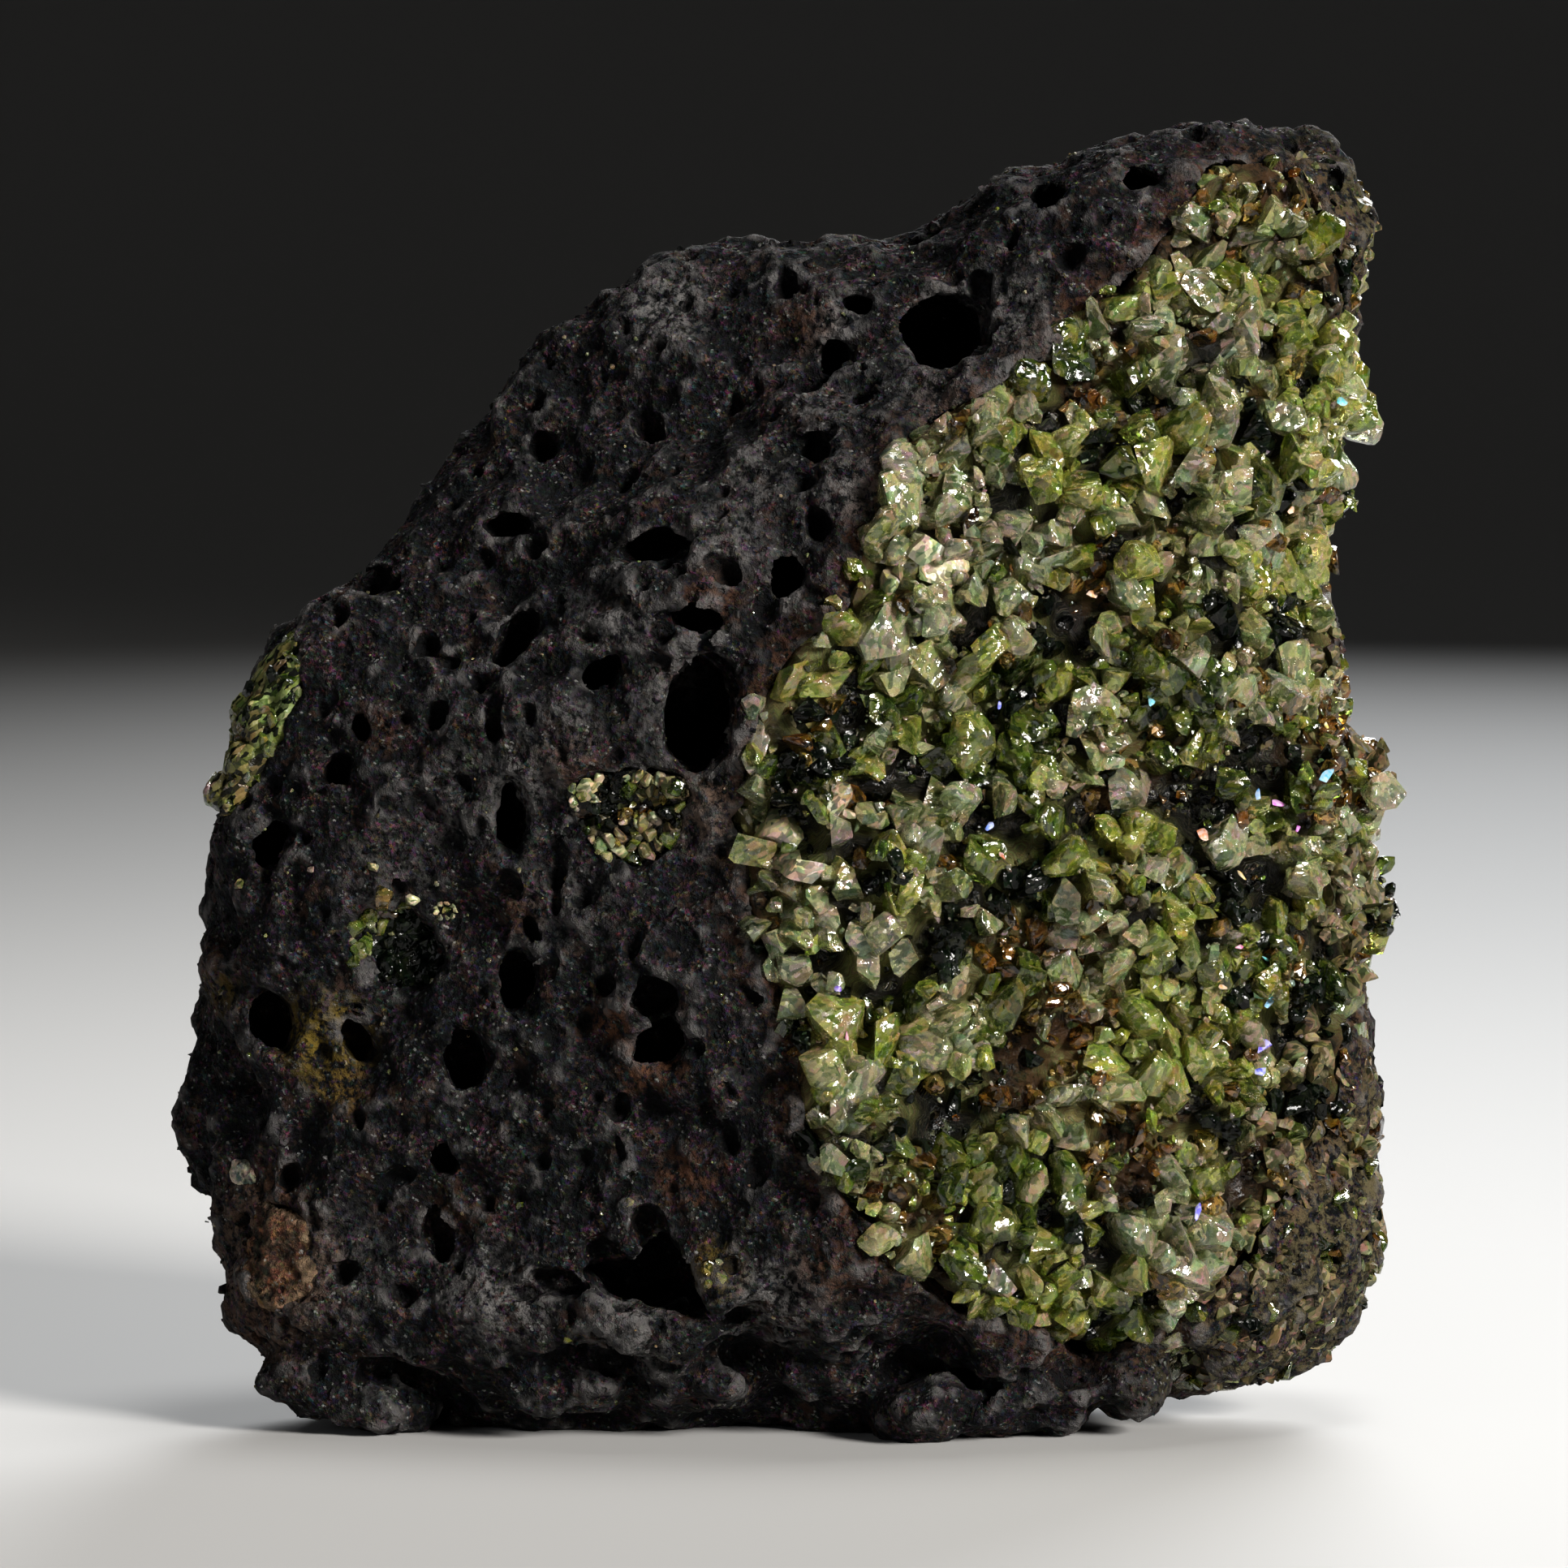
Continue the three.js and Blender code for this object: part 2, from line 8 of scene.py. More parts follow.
import logging
import math
from contextlib import contextmanager
from dataclasses import dataclass, field
from enum import Enum
from itertools import product
from typing import Callable, Iterator, Sequence

import bpy
import numpy as np
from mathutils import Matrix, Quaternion, Vector, noise
from mathutils.bvhtree import BVHTree


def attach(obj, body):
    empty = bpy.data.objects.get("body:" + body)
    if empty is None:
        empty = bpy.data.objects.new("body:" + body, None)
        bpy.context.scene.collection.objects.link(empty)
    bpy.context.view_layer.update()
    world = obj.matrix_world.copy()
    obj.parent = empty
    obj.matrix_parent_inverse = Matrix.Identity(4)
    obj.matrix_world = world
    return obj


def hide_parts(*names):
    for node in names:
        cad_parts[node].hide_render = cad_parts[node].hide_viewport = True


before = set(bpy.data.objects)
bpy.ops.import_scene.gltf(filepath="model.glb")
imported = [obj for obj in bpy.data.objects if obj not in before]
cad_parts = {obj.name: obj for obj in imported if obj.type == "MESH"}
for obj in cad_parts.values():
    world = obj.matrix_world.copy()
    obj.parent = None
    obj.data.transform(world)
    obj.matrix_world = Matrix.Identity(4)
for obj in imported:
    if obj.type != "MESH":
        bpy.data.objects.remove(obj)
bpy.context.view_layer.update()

LOG = logging.getLogger("peridot")

MM = 0.001
SAME_PLACE = 0.001 * MM
Colour = tuple[float, float, float]
Socket = bpy.types.NodeSocket
Thing = bpy.types.Object
Chance = np.random.Generator


@dataclass(frozen=True)
class Photo:
    """Turns a pixel of the photograph into a place on the specimen."""

    size: int = 1932
    middle: float = 964.0
    ground: float = 1788.0
    pixel: float = 0.045 * MM

    def x(self, column: float) -> float:
        """The place across that a column of pixels shows."""
        return (column - self.middle) * self.pixel

    def z(self, row: float) -> float:
        """The height that a row of pixels shows."""
        return (self.ground - row) * self.pixel

    def column(self, x: np.ndarray) -> np.ndarray:
        """The columns of pixels that show places across."""
        return x / self.pixel + self.middle

    def row(self, z: np.ndarray) -> np.ndarray:
        """The rows of pixels that show heights."""
        return self.ground - z / self.pixel

    def away(self, place: np.ndarray, spots: Sequence[Patch | Mark | Spot]) -> list[float]:
        """How many pixels a place is from each of some spots."""
        column, row = self.column(place[0]), self.row(place[2])
        return [math.hypot(column - spot.column, row - spot.row) for spot in spots]


PHOTO = Photo()


def work_on(thing: Thing) -> None:
    """Makes one object the only one selected, and the active one."""
    for other in bpy.context.selected_objects:
        other.select_set(False)
    thing.select_set(True)
    bpy.context.view_layer.objects.active = thing


@contextmanager
def editing(thing: Thing) -> Iterator[None]:
    """Edit mode on one object, with all of it selected at the start.

    Args:
        thing: the mesh object to edit.
    """
    work_on(thing)
    bpy.ops.object.mode_set(mode="EDIT")
    bpy.ops.mesh.select_mode(type="FACE")
    bpy.ops.mesh.select_all(action="SELECT")
    yield
    bpy.ops.object.mode_set(mode="OBJECT")


def thin(thing: Thing, faces: np.ndarray, share: float) -> None:
    """Thins some of the faces of a mesh.

    Args:
        thing: the object to thin.
        faces: one True or False a face.
        share: how many of those faces stay.
    """
    work_on(thing)
    mesh = thing.data
    mesh.vertices.foreach_set("select", np.zeros(len(mesh.vertices), dtype=bool))
    mesh.edges.foreach_set("select", np.zeros(len(mesh.edges), dtype=bool))
    mesh.polygons.foreach_set("select", faces)
    bpy.ops.object.mode_set(mode="EDIT")
    bpy.ops.mesh.select_mode(type="FACE")
    bpy.ops.mesh.decimate(ratio=share)
    bpy.ops.object.mode_set(mode="OBJECT")


def apply_modifier(thing: Thing, kind: str, **settings: object) -> None:
    """Adds a modifier with its settings and applies it.

    Args:
        thing: the object to change.
        kind: Blender's name for the modifier type.
        settings: the modifier's settings by name.
    """
    work_on(thing)
    modifier = thing.modifiers.new(kind.title(), kind)
    for name, value in settings.items():
        setattr(modifier, name, value)
    bpy.ops.object.modifier_apply(modifier=modifier.name)


def remove(thing: Thing) -> None:
    """Deletes an object and its mesh."""
    mesh = thing.data
    bpy.data.objects.remove(thing)
    bpy.data.meshes.remove(mesh)


def thin_to(thing: Thing, most: int) -> None:
    """Thins the whole mesh evenly to a number of triangles."""
    apply_modifier(thing, "DECIMATE", ratio=min(1.0, most / len(triangles_of(thing))))


def copy_of_node(node: str, name: str) -> Thing:
    """A merged copy of a CAD node to model from, with the node itself left alone.

    Args:
        node: the CAD node's name.
        name: the new piece's name.

    Returns:
        The new object, at the origin.
    """
    thing = bpy.data.objects.new(name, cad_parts[node].data.copy())
    bpy.context.scene.collection.objects.link(thing)
    thing.data.name = name
    thing.data.materials.clear()
    with editing(thing):
        bpy.ops.mesh.remove_doubles(threshold=SAME_PLACE)
    return thing


def remesh(thing: Thing, voxel: float) -> None:
    """Rebuilds the surface from even cells."""
    apply_modifier(thing, "REMESH", mode="VOXEL", voxel_size=voxel, adaptivity=0.0)


class Chip(Enum):
    """The shapes of lump that roughen a surface."""

    ROUND = "CLOUDS"
    EDGED = "VORONOI"


@dataclass(frozen=True)
class Lumps:
    """One size of lump on a surface, from its lowest point to its highest."""

    size: float
    height: float
    chip: Chip = Chip.ROUND
    finer: int = 2


def roughen(thing: Thing, *layers: Lumps) -> None:
    """Raises and sinks the surface in natural lumps.

    Args:
        thing: the object to roughen.
        layers: the lumps, one size after another.
    """
    for lumps in layers:
        texture = bpy.data.textures.new(f"{lumps.chip.name.lower()} lumps", lumps.chip.value)
        texture.noise_scale = lumps.size
        if lumps.chip is Chip.ROUND:
            texture.noise_depth = lumps.finer
        apply_modifier(
            thing,
            "DISPLACE",
            texture=texture,
            texture_coords="LOCAL",
            strength=lumps.height,
            mid_level=0.5,
        )
        bpy.data.textures.remove(texture)


def rows_of(items: Sequence, name: str, width: int, number: type = np.float32) -> np.ndarray:
    """Reads one property of all of a mesh's items.

    Args:
        items: its vertices, edges, faces or the like.
        name: the property.
        width: how many numbers the property has.
        number: the type of the numbers.

    Returns:
        One row an item.
    """
    values = np.empty(len(items) * width, dtype=number)
    items.foreach_get(name, values)
    return values.reshape(-1, width)


def corners_of(thing: Thing) -> np.ndarray:
    """The object's vertices as rows of x, y, z."""
    return rows_of(thing.data.vertices, "co", 3, np.float64)


def set_corners(thing: Thing, points: np.ndarray) -> None:
    """Moves the object's vertices to these places."""
    thing.data.vertices.foreach_set("co", points.astype(np.float32).ravel())
    thing.data.update()


def normals_of(thing: Thing) -> np.ndarray:
    """The object's vertex normals as rows of x, y, z."""
    return rows_of(thing.data.vertex_normals, "vector", 3)


def triangles_of(thing: Thing) -> np.ndarray:
    """The object's triangles as rows of three vertex numbers."""
    thing.data.calc_loop_triangles()
    return rows_of(thing.data.loop_triangles, "vertices", 3, np.int32)


def paint(thing: Thing, name: str, values: np.ndarray) -> None:
    """Stores one number for each vertex, for the materials to read.

    Args:
        thing: the object to store it on.
        name: the attribute's name.
        values: one number a vertex.
    """
    attribute = thing.data.attributes.new(name, "FLOAT", "POINT")
    attribute.data.foreach_set("value", values.astype(np.float32))


def smoothed(points: np.ndarray, edges: np.ndarray, rounds: int) -> np.ndarray:
    """Points averaged with their neighbours again and again.

    Args:
        points: rows of x, y, z.
        edges: rows of two vertex numbers.
        rounds: how many times to average.

    Returns:
        The averaged points.
    """
    count = len(points)
    ends = np.concatenate([edges[:, 0], edges[:, 1]])
    others = np.concatenate([edges[:, 1], edges[:, 0]])
    neighbours = np.bincount(ends, minlength=count).clip(1)
    for _ in range(rounds):
        sums = [np.bincount(ends, weights=points[others, axis], minlength=count) for axis in range(3)]
        points = np.stack(sums, axis=1) / neighbours[:, None] * 0.5 + points * 0.5
    return points


def relief_of(thing: Thing, rounds: int) -> np.ndarray:
    """How far each vertex stands out of the smoothed surface round it, in metres.

    Args:
        thing: the object to measure.
        rounds: how far the smoothing reaches.

    Returns:
        One number a vertex, above 0 on ridges and below 0 in pits.
    """
    edges = rows_of(thing.data.edges, "vertices", 2, np.int32)
    points = corners_of(thing)
    gap = points - smoothed(points, edges, rounds)
    return np.einsum("ij,ij->i", gap, normals_of(thing))


def paint_relief(thing: Thing, rounds: int, reach: float) -> None:
    """Stores how far each vertex stands out, from 0 in pits to 1 on ridges.

    Args:
        thing: the object to store it on.
        rounds: how far the smoothing that it is measured against reaches.
        reach: the height that counts as fully out.
    """
    relief = relief_of(thing, rounds) / reach
    paint(thing, "relief", (relief * 0.5 + 0.5).clip(0, 1))


@dataclass
class Form:
    """One modelled form, kept as arrays so that it can be copied many times."""

    corners: np.ndarray
    triangles: np.ndarray

    @classmethod
    def from_object(cls, thing: Thing) -> Form:
        """Reads a modelled object into arrays and deletes it.

        Args:
            thing: the object to read.

        Returns:
            Its form.
        """
        form = cls(corners_of(thing), triangles_of(thing))
        remove(thing)
        return form


@dataclass
class Copies:
    """Where copies of some forms go: one row for each copy."""

    forms: Sequence[Form]
    places: list[np.ndarray] = field(default_factory=list)
    turns: list[np.ndarray] = field(default_factory=list)
    sizes: list[np.ndarray] = field(default_factory=list)
    kinds: list[int] = field(default_factory=list)
    tints: list[float] = field(default_factory=list)

    def add(
        self, place: Sequence[float], turn: np.ndarray, size: Sequence[float], kind: int, tint: float
    ) -> None:
        """Adds one copy.

        Args:
            place: its middle.
            turn: its rotation as a 3 x 3 matrix.
            size: its half sizes along its own axes.
            kind: which form it copies.
            tint: a number from 0 to 1 for its material.
        """
        self.places.append(np.asarray(place))
        self.turns.append(turn)
        self.sizes.append(np.asarray(size))
        self.kinds.append(kind % len(self.forms))
        self.tints.append(tint)

    def joined(self, name: str, rounded: float = 0.0) -> Thing:
        """Makes one object of all the copies.

        Args:
            name: the new object's name.
            rounded: the widest angle between faces that is shaded as round, in degrees.

        Returns:
            The object, with each copy's tint as a vertex attribute.
        """
        corners, triangles, tints, total = [], [], [], 0
        rows = zip(self.places, self.turns, self.sizes, self.kinds, self.tints)
        for place, turn, size, kind, tint in rows:
            form = self.forms[kind]
            corners.append((form.corners * size) @ turn.T + place)
            triangles.append(form.triangles + total)
            tints.append(np.full(len(form.corners), tint))
            total += len(form.corners)
        mesh = bpy.data.meshes.new(name)
        mesh.from_pydata(np.concatenate(corners).tolist(), [], np.concatenate(triangles).tolist())
        thing = bpy.data.objects.new(name, mesh)
        bpy.context.scene.collection.objects.link(thing)
        paint(thing, "tint", np.concatenate(tints))
        if rounded:
            work_on(thing)
            bpy.ops.object.shade_smooth_by_angle(angle=math.radians(rounded))
        return thing


def random_turn(chance: Chance) -> np.ndarray:
    """Any rotation, as a 3 x 3 matrix."""
    return np.array(Quaternion(chance.normal(size=4)).normalized().to_matrix())


def turn_about(axis: tuple[float, float, float], angle: float) -> np.ndarray:
    """A rotation about an axis, in radians, as a 3 x 3 matrix."""
    return np.array(Quaternion(axis, angle).to_matrix())


def upright_turn(lean: float) -> np.ndarray:
    """A rotation in the front view, clockwise in degrees."""
    return turn_about((0, 1, 0), math.radians(lean))


@dataclass(frozen=True)
class Skin:
    """Random points over an object's surface, and rays against it."""

    thing: Thing

    def tree(self) -> BVHTree:
        """A search tree of the object's triangles."""
        return BVHTree.FromPolygons(corners_of(self.thing).tolist(), triangles_of(self.thing).tolist())

    def scatter(self, count: int, chance: Chance) -> tuple[np.ndarray, np.ndarray]:
        """Points spread evenly by area.

        Args:
            count: how many.
            chance: where the random numbers come from.

        Returns:
            Their places and the surface's normals there.
        """
        points = corners_of(self.thing)
        a, b, c = (points[column] for column in triangles_of(self.thing).T)
        across = np.cross(b - a, c - a)
        areas = np.linalg.norm(across, axis=1)
        chosen = chance.choice(len(areas), size=count, p=areas / areas.sum())
        first, second = chance.random((2, count, 1))
        over = first + second > 1
        first, second = np.where(over, 1 - first, first), np.where(over, 1 - second, second)
        places = a[chosen] + first * (b - a)[chosen] + second * (c - a)[chosen]
        return places, across[chosen] / areas[chosen, None]


def dress(thing: Thing, material: bpy.types.Material, node: str | None = None) -> None:
    """Gives a finished piece its material and its body, and hides the CAD node that it stands for.

    Args:
        thing: the piece.
        material: its material.
        node: the CAD node that it stands for.
    """
    thing.data.materials.clear()
    thing.data.materials.append(material)
    thing.data.polygons.foreach_set("material_index", np.zeros(len(thing.data.polygons), dtype=np.int32))
    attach(thing, "root")
    if node:
        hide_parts(node)


FRONT_START = -100 * MM


def front_of(tree: BVHTree, x: float, z: float) -> tuple[Vector, Vector] | None:
    """The point of a surface that shows at a place in the front view.

    Args:
        tree: the surface's search tree.
        x: the place across.
        z: the height.

    Returns:
        The point and the normal there, or None past the edge.
    """
    place, normal, _, _ = tree.ray_cast(Vector((x, FRONT_START, z)), Vector((0, 1, 0)))
    return None if place is None else (place, normal)


class Spacing:
    """Keeps round things from crowding each other."""

    def __init__(self, cell: float, closeness: float) -> None:
        """Starts empty.

        Args:
            cell: the largest distance at which two things can touch.
            closeness: the least distance between two as a share of their radii together.
        """
        self.cell = cell
        self.closeness = closeness
        self.cells: dict[tuple[int, ...], list[tuple[np.ndarray, float]]] = {}

    def take(self, place: np.ndarray, radius: float) -> bool:
        """Takes a place if it is free.

        Args:
            place: the middle of the thing.
            radius: how far it reaches.

        Returns:
            True if there was room.
        """
        key = tuple(int(v) for v in np.floor(place / self.cell))
        for step in product((-1, 0, 1), repeat=3):
            for other, reach in self.cells.get(tuple(a + b for a, b in zip(key, step)), ()):
                gap = other - place
                if gap @ gap < (self.closeness * (radius + reach)) ** 2:
                    return False
        self.cells.setdefault(key, []).append((place, radius))
        return True


class Graph:
    """A node tree while it is wired up."""

    def __init__(self, tree: bpy.types.NodeTree) -> None:
        """Starts from an empty tree.

        Args:
            tree: the tree of a material or a group.
        """
        self.tree = tree
        tree.nodes.clear()

    def add(self, kind: str, inputs: dict | None = None, **settings: object) -> bpy.types.Node:
        """Adds a node.

        Args:
            kind: the node's type, without the leading ShaderNode.
            inputs: what goes into its sockets: other nodes' sockets, or plain values.
            settings: the node's own settings.

        Returns:
            The node.
        """
        node = self.tree.nodes.new(kind if kind.startswith("Node") else f"ShaderNode{kind}")
        for name, value in settings.items():
            setattr(node, name, value)
        for name, value in (inputs or {}).items():
            if isinstance(value, Socket):
                self.tree.links.new(value, node.inputs[name])
            elif isinstance(value, tuple) and node.inputs[name].type == "RGBA":
                node.inputs[name].default_value = (*value, 1.0)
            elif value is not None:
                node.inputs[name].default_value = value
        return node

    def mix(self, share: object, first: object, second: object, blend: str = "MIX") -> Socket:
        """Mixes two colours.

        Args:
            share: how much of the second shows.
            first: a colour or a socket.
            second: a colour or a socket.
            blend: how they mix.

        Returns:
            The mixed colour.
        """
        inputs = {0: share, 6: first, 7: second}
        return self.add("Mix", inputs, data_type="RGBA", blend_type=blend).outputs[2]

    def span(self, value: Socket, low: float, high: float, to: tuple[float, float] = (0.0, 1.0)) -> Socket:
        """Stretches a range of values smoothly to another.

        Args:
            value: the socket to stretch.
            low: the value that becomes the first of the new range.
            high: the value that becomes the last of it.
            to: the new range.

        Returns:
            The stretched value.
        """
        limits = {"Value": value, "From Min": low, "From Max": high, "To Min": to[0], "To Max": to[1]}
        return self.add("MapRange", limits, interpolation_type="SMOOTHSTEP").outputs[0]

    def sum(self, kind: str, first: object, second: object) -> Socket:
        """Works out a sum of two values, such as ADD."""
        return self.add("Math", {0: first, 1: second}, operation=kind).outputs[0]

    def times(self, first: object, second: object) -> Socket:
        """Multiplies two values."""
        return self.sum("MULTIPLY", first, second)

    def tinted(self, colour: Socket, by: object) -> Socket:
        """Multiplies a colour by another."""
        return self.mix(1.0, colour, by, "MULTIPLY")

    def vector(self, kind: str, first: object, second: object, scale: object = None) -> Socket:
        """Works out a sum of two vectors, such as ADD, or of one and a number, such as SCALE.

        Args:
            kind: the sum.
            first: a vector.
            second: a vector, or None.
            scale: a number, or None.

        Returns:
            The vector that it gives.
        """
        return self.add("VectorMath", {0: first, 1: second, 3: scale}, operation=kind).outputs[0]

    def noise(self, where: Socket, size: float, detail: float = 3.0, rough: float = 0.55) -> Socket:
        """Cloudy noise with lumps of a size in the units of where."""
        inputs = {"Vector": where, "Scale": 1.0 / size, "Detail": detail, "Roughness": rough}
        return self.add("TexNoise", inputs).outputs[0]

    def cells(self, where: Socket, scale: float | Socket) -> bpy.types.Node:
        """Cells, a number of them to each unit of where."""
        return self.add("TexVoronoi", {"Vector": where, "Scale": scale})

    def channel(self, colour: Socket, name: str) -> Socket:
        """One channel of a colour, such as Red."""
        return self.add("SeparateColor", {"Color": colour}).outputs[name]

    def grey(self, value: Socket) -> Socket:
        """A value as a grey."""
        return self.add("CombineColor", {"Red": value, "Green": value, "Blue": value}).outputs[0]

    def attribute(self, name: str) -> Socket:
        """A number stored on each vertex."""
        return self.add("Attribute", attribute_name=name, attribute_type="GEOMETRY").outputs["Fac"]

    def millimetres(self) -> Socket:
        """The place on the piece, in millimetres."""
        place = self.add("TexCoord").outputs["Object"]
        scale = (1 / MM, 1 / MM, 1 / MM)
        return self.add("Mapping", {"Vector": place, "Scale": scale}).outputs[0]


class Group:
    """A shader node group, built once and placed in several materials."""

    name: str = ""
    takes: dict[str, str] = {}
    gives: dict[str, str] = {}

    def wire(self, graph: Graph, taken: bpy.types.Node) -> dict[str, Socket]:
        """Builds the inside. Each kind of group has its own.

        Args:
            graph: the group's tree.
            taken: the node whose outputs are what the group takes.

        Returns:
            What the group gives, by name.
        """
        raise NotImplementedError

    def tree(self) -> bpy.types.NodeTree:
        """The group's tree, built the first time that it is asked for."""
        if self.name in bpy.data.node_groups:
            return bpy.data.node_groups[self.name]
        tree = bpy.data.node_groups.new(self.name, "ShaderNodeTree")
        for way, sockets in (("INPUT", self.takes), ("OUTPUT", self.gives)):
            for name, kind in sockets.items():
                tree.interface.new_socket(name, in_out=way, socket_type=f"NodeSocket{kind}")
        graph = Graph(tree)
        outputs = self.wire(graph, graph.add("NodeGroupInput"))
        graph.add("NodeGroupOutput", dict(outputs))
        return tree

    def place(self, graph: Graph, inputs: dict[str, object]) -> bpy.types.Node:
        """Places the group in a material.

        Args:
            graph: the material's tree.
            inputs: values or sockets for what the group takes.

        Returns:
            The group's node.
        """
        return graph.add("Group", inputs, node_tree=self.tree())


class RockGrain(Group):
    """The speckled ground of a fine rock, with cloudy patches, stains, grit, pale flecks partly painted as
    sparkle, and pores darkened by painted shade, sized in millimetres.
    """

    cloud = 2.2
    grit = 0.36
    blotch = 1.3
    stains = 1.7
    pores = 0.7
    crystal = 0.2
    fleck_and_sparkle_colour: Colour = (0.24, 0.235, 0.23)
    painted_pore_shade: Colour = (0.002, 0.002, 0.0025)
    tones: tuple[Colour, Colour] = ((0.2, 0.32, 0.38), (1.6, 1.38, 1.34))
    tinges: tuple[Colour, Colour] = ((0.78, 1.0, 1.12), (1.2, 0.96, 0.98))

    name = "rock grain"
    takes = {
        "Place": "Vector",
        "Dark": "Color",
        "Light": "Color",
        "Stain": "Color",
        "Stain Share": "Float",
        "Speckle": "Float",
    }
    gives = {"Colour": "Color", "Height": "Float"}

    def wire(self, graph: Graph, taken: bpy.types.Node) -> dict[str, Socket]:
        """Mixes patches, speckles and stains, brightens pale flecks with painted sparkle, darkens the pores
        with painted shade, and gives grit as a height.

        Args:
            graph: the group's tree.
            taken: the node whose outputs are what the group takes.

        Returns:
            The colour and the height.
        """
        place, dark, light, stain, share, speckle = (taken.outputs[name] for name in self.takes)
        cloud = graph.noise(place, self.cloud, 3.0, 0.7)
        grit = graph.noise(place, self.grit, 3.0, 0.8)
        blotch = graph.noise(place, self.blotch, 3.0, 0.65)
        shaken = graph.vector("SCALE", (1.0, 0.4, -0.8), None, graph.times(grit, 0.7))
        ragged = graph.vector("ADD", place, shaken)
        grain = graph.cells(ragged, 1 / self.crystal)

        speckled = graph.times(graph.span(grit, 0.42, 0.64), graph.span(cloud, 0.34, 0.66, (0.15, 1.0)))
        colour = graph.mix(speckled, dark, light)
        colour = graph.tinted(colour, graph.mix(graph.span(blotch, 0.36, 0.64), *self.tones))
        tinge = graph.mix(graph.span(cloud, 0.4, 0.6), *self.tinges)
        colour = graph.mix(speckle, colour, tinge, "MULTIPLY")
        hue = graph.tinted(graph.mix(0.22, grain.outputs["Color"], (0.5, 0.49, 0.49)), (2.1, 2.1, 2.1))
        colour = graph.mix(speckle, colour, hue, "MULTIPLY")
        seep = graph.noise(place, self.stains, 3.0, 0.7)
        colour = graph.mix(graph.times(graph.span(seep, 0.58, 0.68), share), colour, stain)

        # Pale flecks of crystal, gathered in clusters, partly painted sparkle where tiny crystals would
        # catch the light.
        lot = graph.channel(grain.outputs["Color"], "Green")
        gathered = graph.sum("ADD", lot, graph.span(blotch, 0.4, 0.65, (0.0, 0.12)))
        spot = graph.span(grain.outputs["Distance"], 0.55, 0.3)
        fleck_and_sparkle = graph.times(spot, graph.span(gathered, 0.93, 1.08))
        colour = graph.mix(graph.times(fleck_and_sparkle, 0.6), colour, self.fleck_and_sparkle_colour)
        # Painted shade in the tiny pores, which also sink in the height.
        hole = graph.span(graph.cells(ragged, 1 / self.pores).outputs["Distance"], 0.3, 0.12)
        pores = graph.times(hole, graph.span(cloud, 0.44, 0.56))
        colour = graph.mix(graph.times(pores, 0.92), colour, self.painted_pore_shade)
        lumps = graph.sum("ADD", grit, graph.times(cloud, 2.4))
        return {"Colour": colour, "Height": graph.sum("SUBTRACT", lumps, graph.times(pores, 1.4))}


class Fractures(Group):
    """What shows in a broken glassy crystal: facets with painted shade, veils and steps, sized in
    millimetres.
    """

    bend = 0.7
    frost = 0.45
    step = 0.22
    shift = 37.0
    facet_shape = (1.0, 1.0, 0.35)
    brightening: Colour = (2.1, 2.0, 1.8)

    name = "crystal fractures"
    takes = {"Place": "Vector", "Tint": "Float", "Facet Size": "Float", "Tilt": "Float"}
    gives = {
        "Veil": "Float",
        "Shade": "Float",
        "Depth": "Float",
        "Tinge": "Color",
        "Height": "Float",
        "Normal": "Vector",
    }

    def wire(self, graph: Graph, taken: bpy.types.Node) -> dict[str, Socket]:
        """Breaks the surface into facets, each with its own tilt and painted shade, and shifts them by the
        tint.

        Args:
            graph: the group's tree.
            taken: the node whose outputs are what the group takes.

        Returns:
            How veiled each point is, its facet's shade and the painted shade that follows from it, its
            tinge, its height and the way that it faces.
        """
        place, tint, size, tilt = (taken.outputs[name] for name in self.takes)
        shift = graph.times(tint, self.shift)
        apart = graph.add("CombineXYZ", {"X": shift, "Y": shift, "Z": shift}).outputs[0]
        place = graph.vector("ADD", place, apart)
        bend = graph.vector("SCALE", (1.0, -0.7, 0.8), None, graph.noise(place, self.bend, 1.0))
        bent = graph.vector("ADD", place, bend)
        frequency = graph.sum("DIVIDE", 1.0, size)
        face = graph.cells(bent, graph.times(frequency, 0.3)).outputs["Color"]
        inputs = {"Vector": bent, "Angle": shift}
        turned = graph.add("VectorRotate", inputs, rotation_type="Y_AXIS").outputs[0]
        cell = graph.cells(graph.vector("MULTIPLY", turned, self.facet_shape), frequency).outputs["Color"]
        both = graph.mix(0.5, face, cell)
        lean = graph.vector("SCALE", graph.vector("SUBTRACT", both, (0.5, 0.5, 0.5)), None, tilt)
        facing = graph.add("NewGeometry").outputs["Normal"]

        shade = graph.channel(cell, "Red")
        bright = graph.times(graph.span(shade, 0.55, 0.9), 0.6)
        frost = graph.span(graph.noise(place, self.frost, 3.0, 0.7), 0.48, 0.62)
        wide = graph.span(graph.channel(face, "Green"), 0.0, 0.7, (0.5, 1.0))
        return {
            "Veil": graph.times(frost, graph.sum("ADD", bright, 0.4)),
            "Shade": shade,
            "Depth": graph.times(graph.span(shade, 0.1, 0.85), wide),
            "Tinge": graph.tinted(both, self.brightening),
            "Height": graph.noise(place, self.step, 2.0, 0.65),
            "Normal": graph.vector("NORMALIZE", graph.vector("ADD", facing, lean), None),
        }


ROCK_GRAIN = RockGrain()
FRACTURES = Fractures()


@dataclass(frozen=True)
class Finish:
    """A material. Each kind of finish wires its own."""

    name: str

    def wire(self, graph: Graph) -> dict[str, object]:
        """Works out what goes into the shader.

        Args:
            graph: the material's tree.

        Returns:
            Sockets or plain values for the shader's inputs.
        """
        raise NotImplementedError

    def material(self) -> bpy.types.Material:
        """Builds the material.

        Returns:
            The material.
        """
        material = bpy.data.materials.new(self.name)
        material.use_nodes = True
        graph = Graph(material.node_tree)
        shader = graph.add("BsdfPrincipled", self.wire(graph))
        graph.add("OutputMaterial", {"Surface": shader.outputs[0]})
        return material


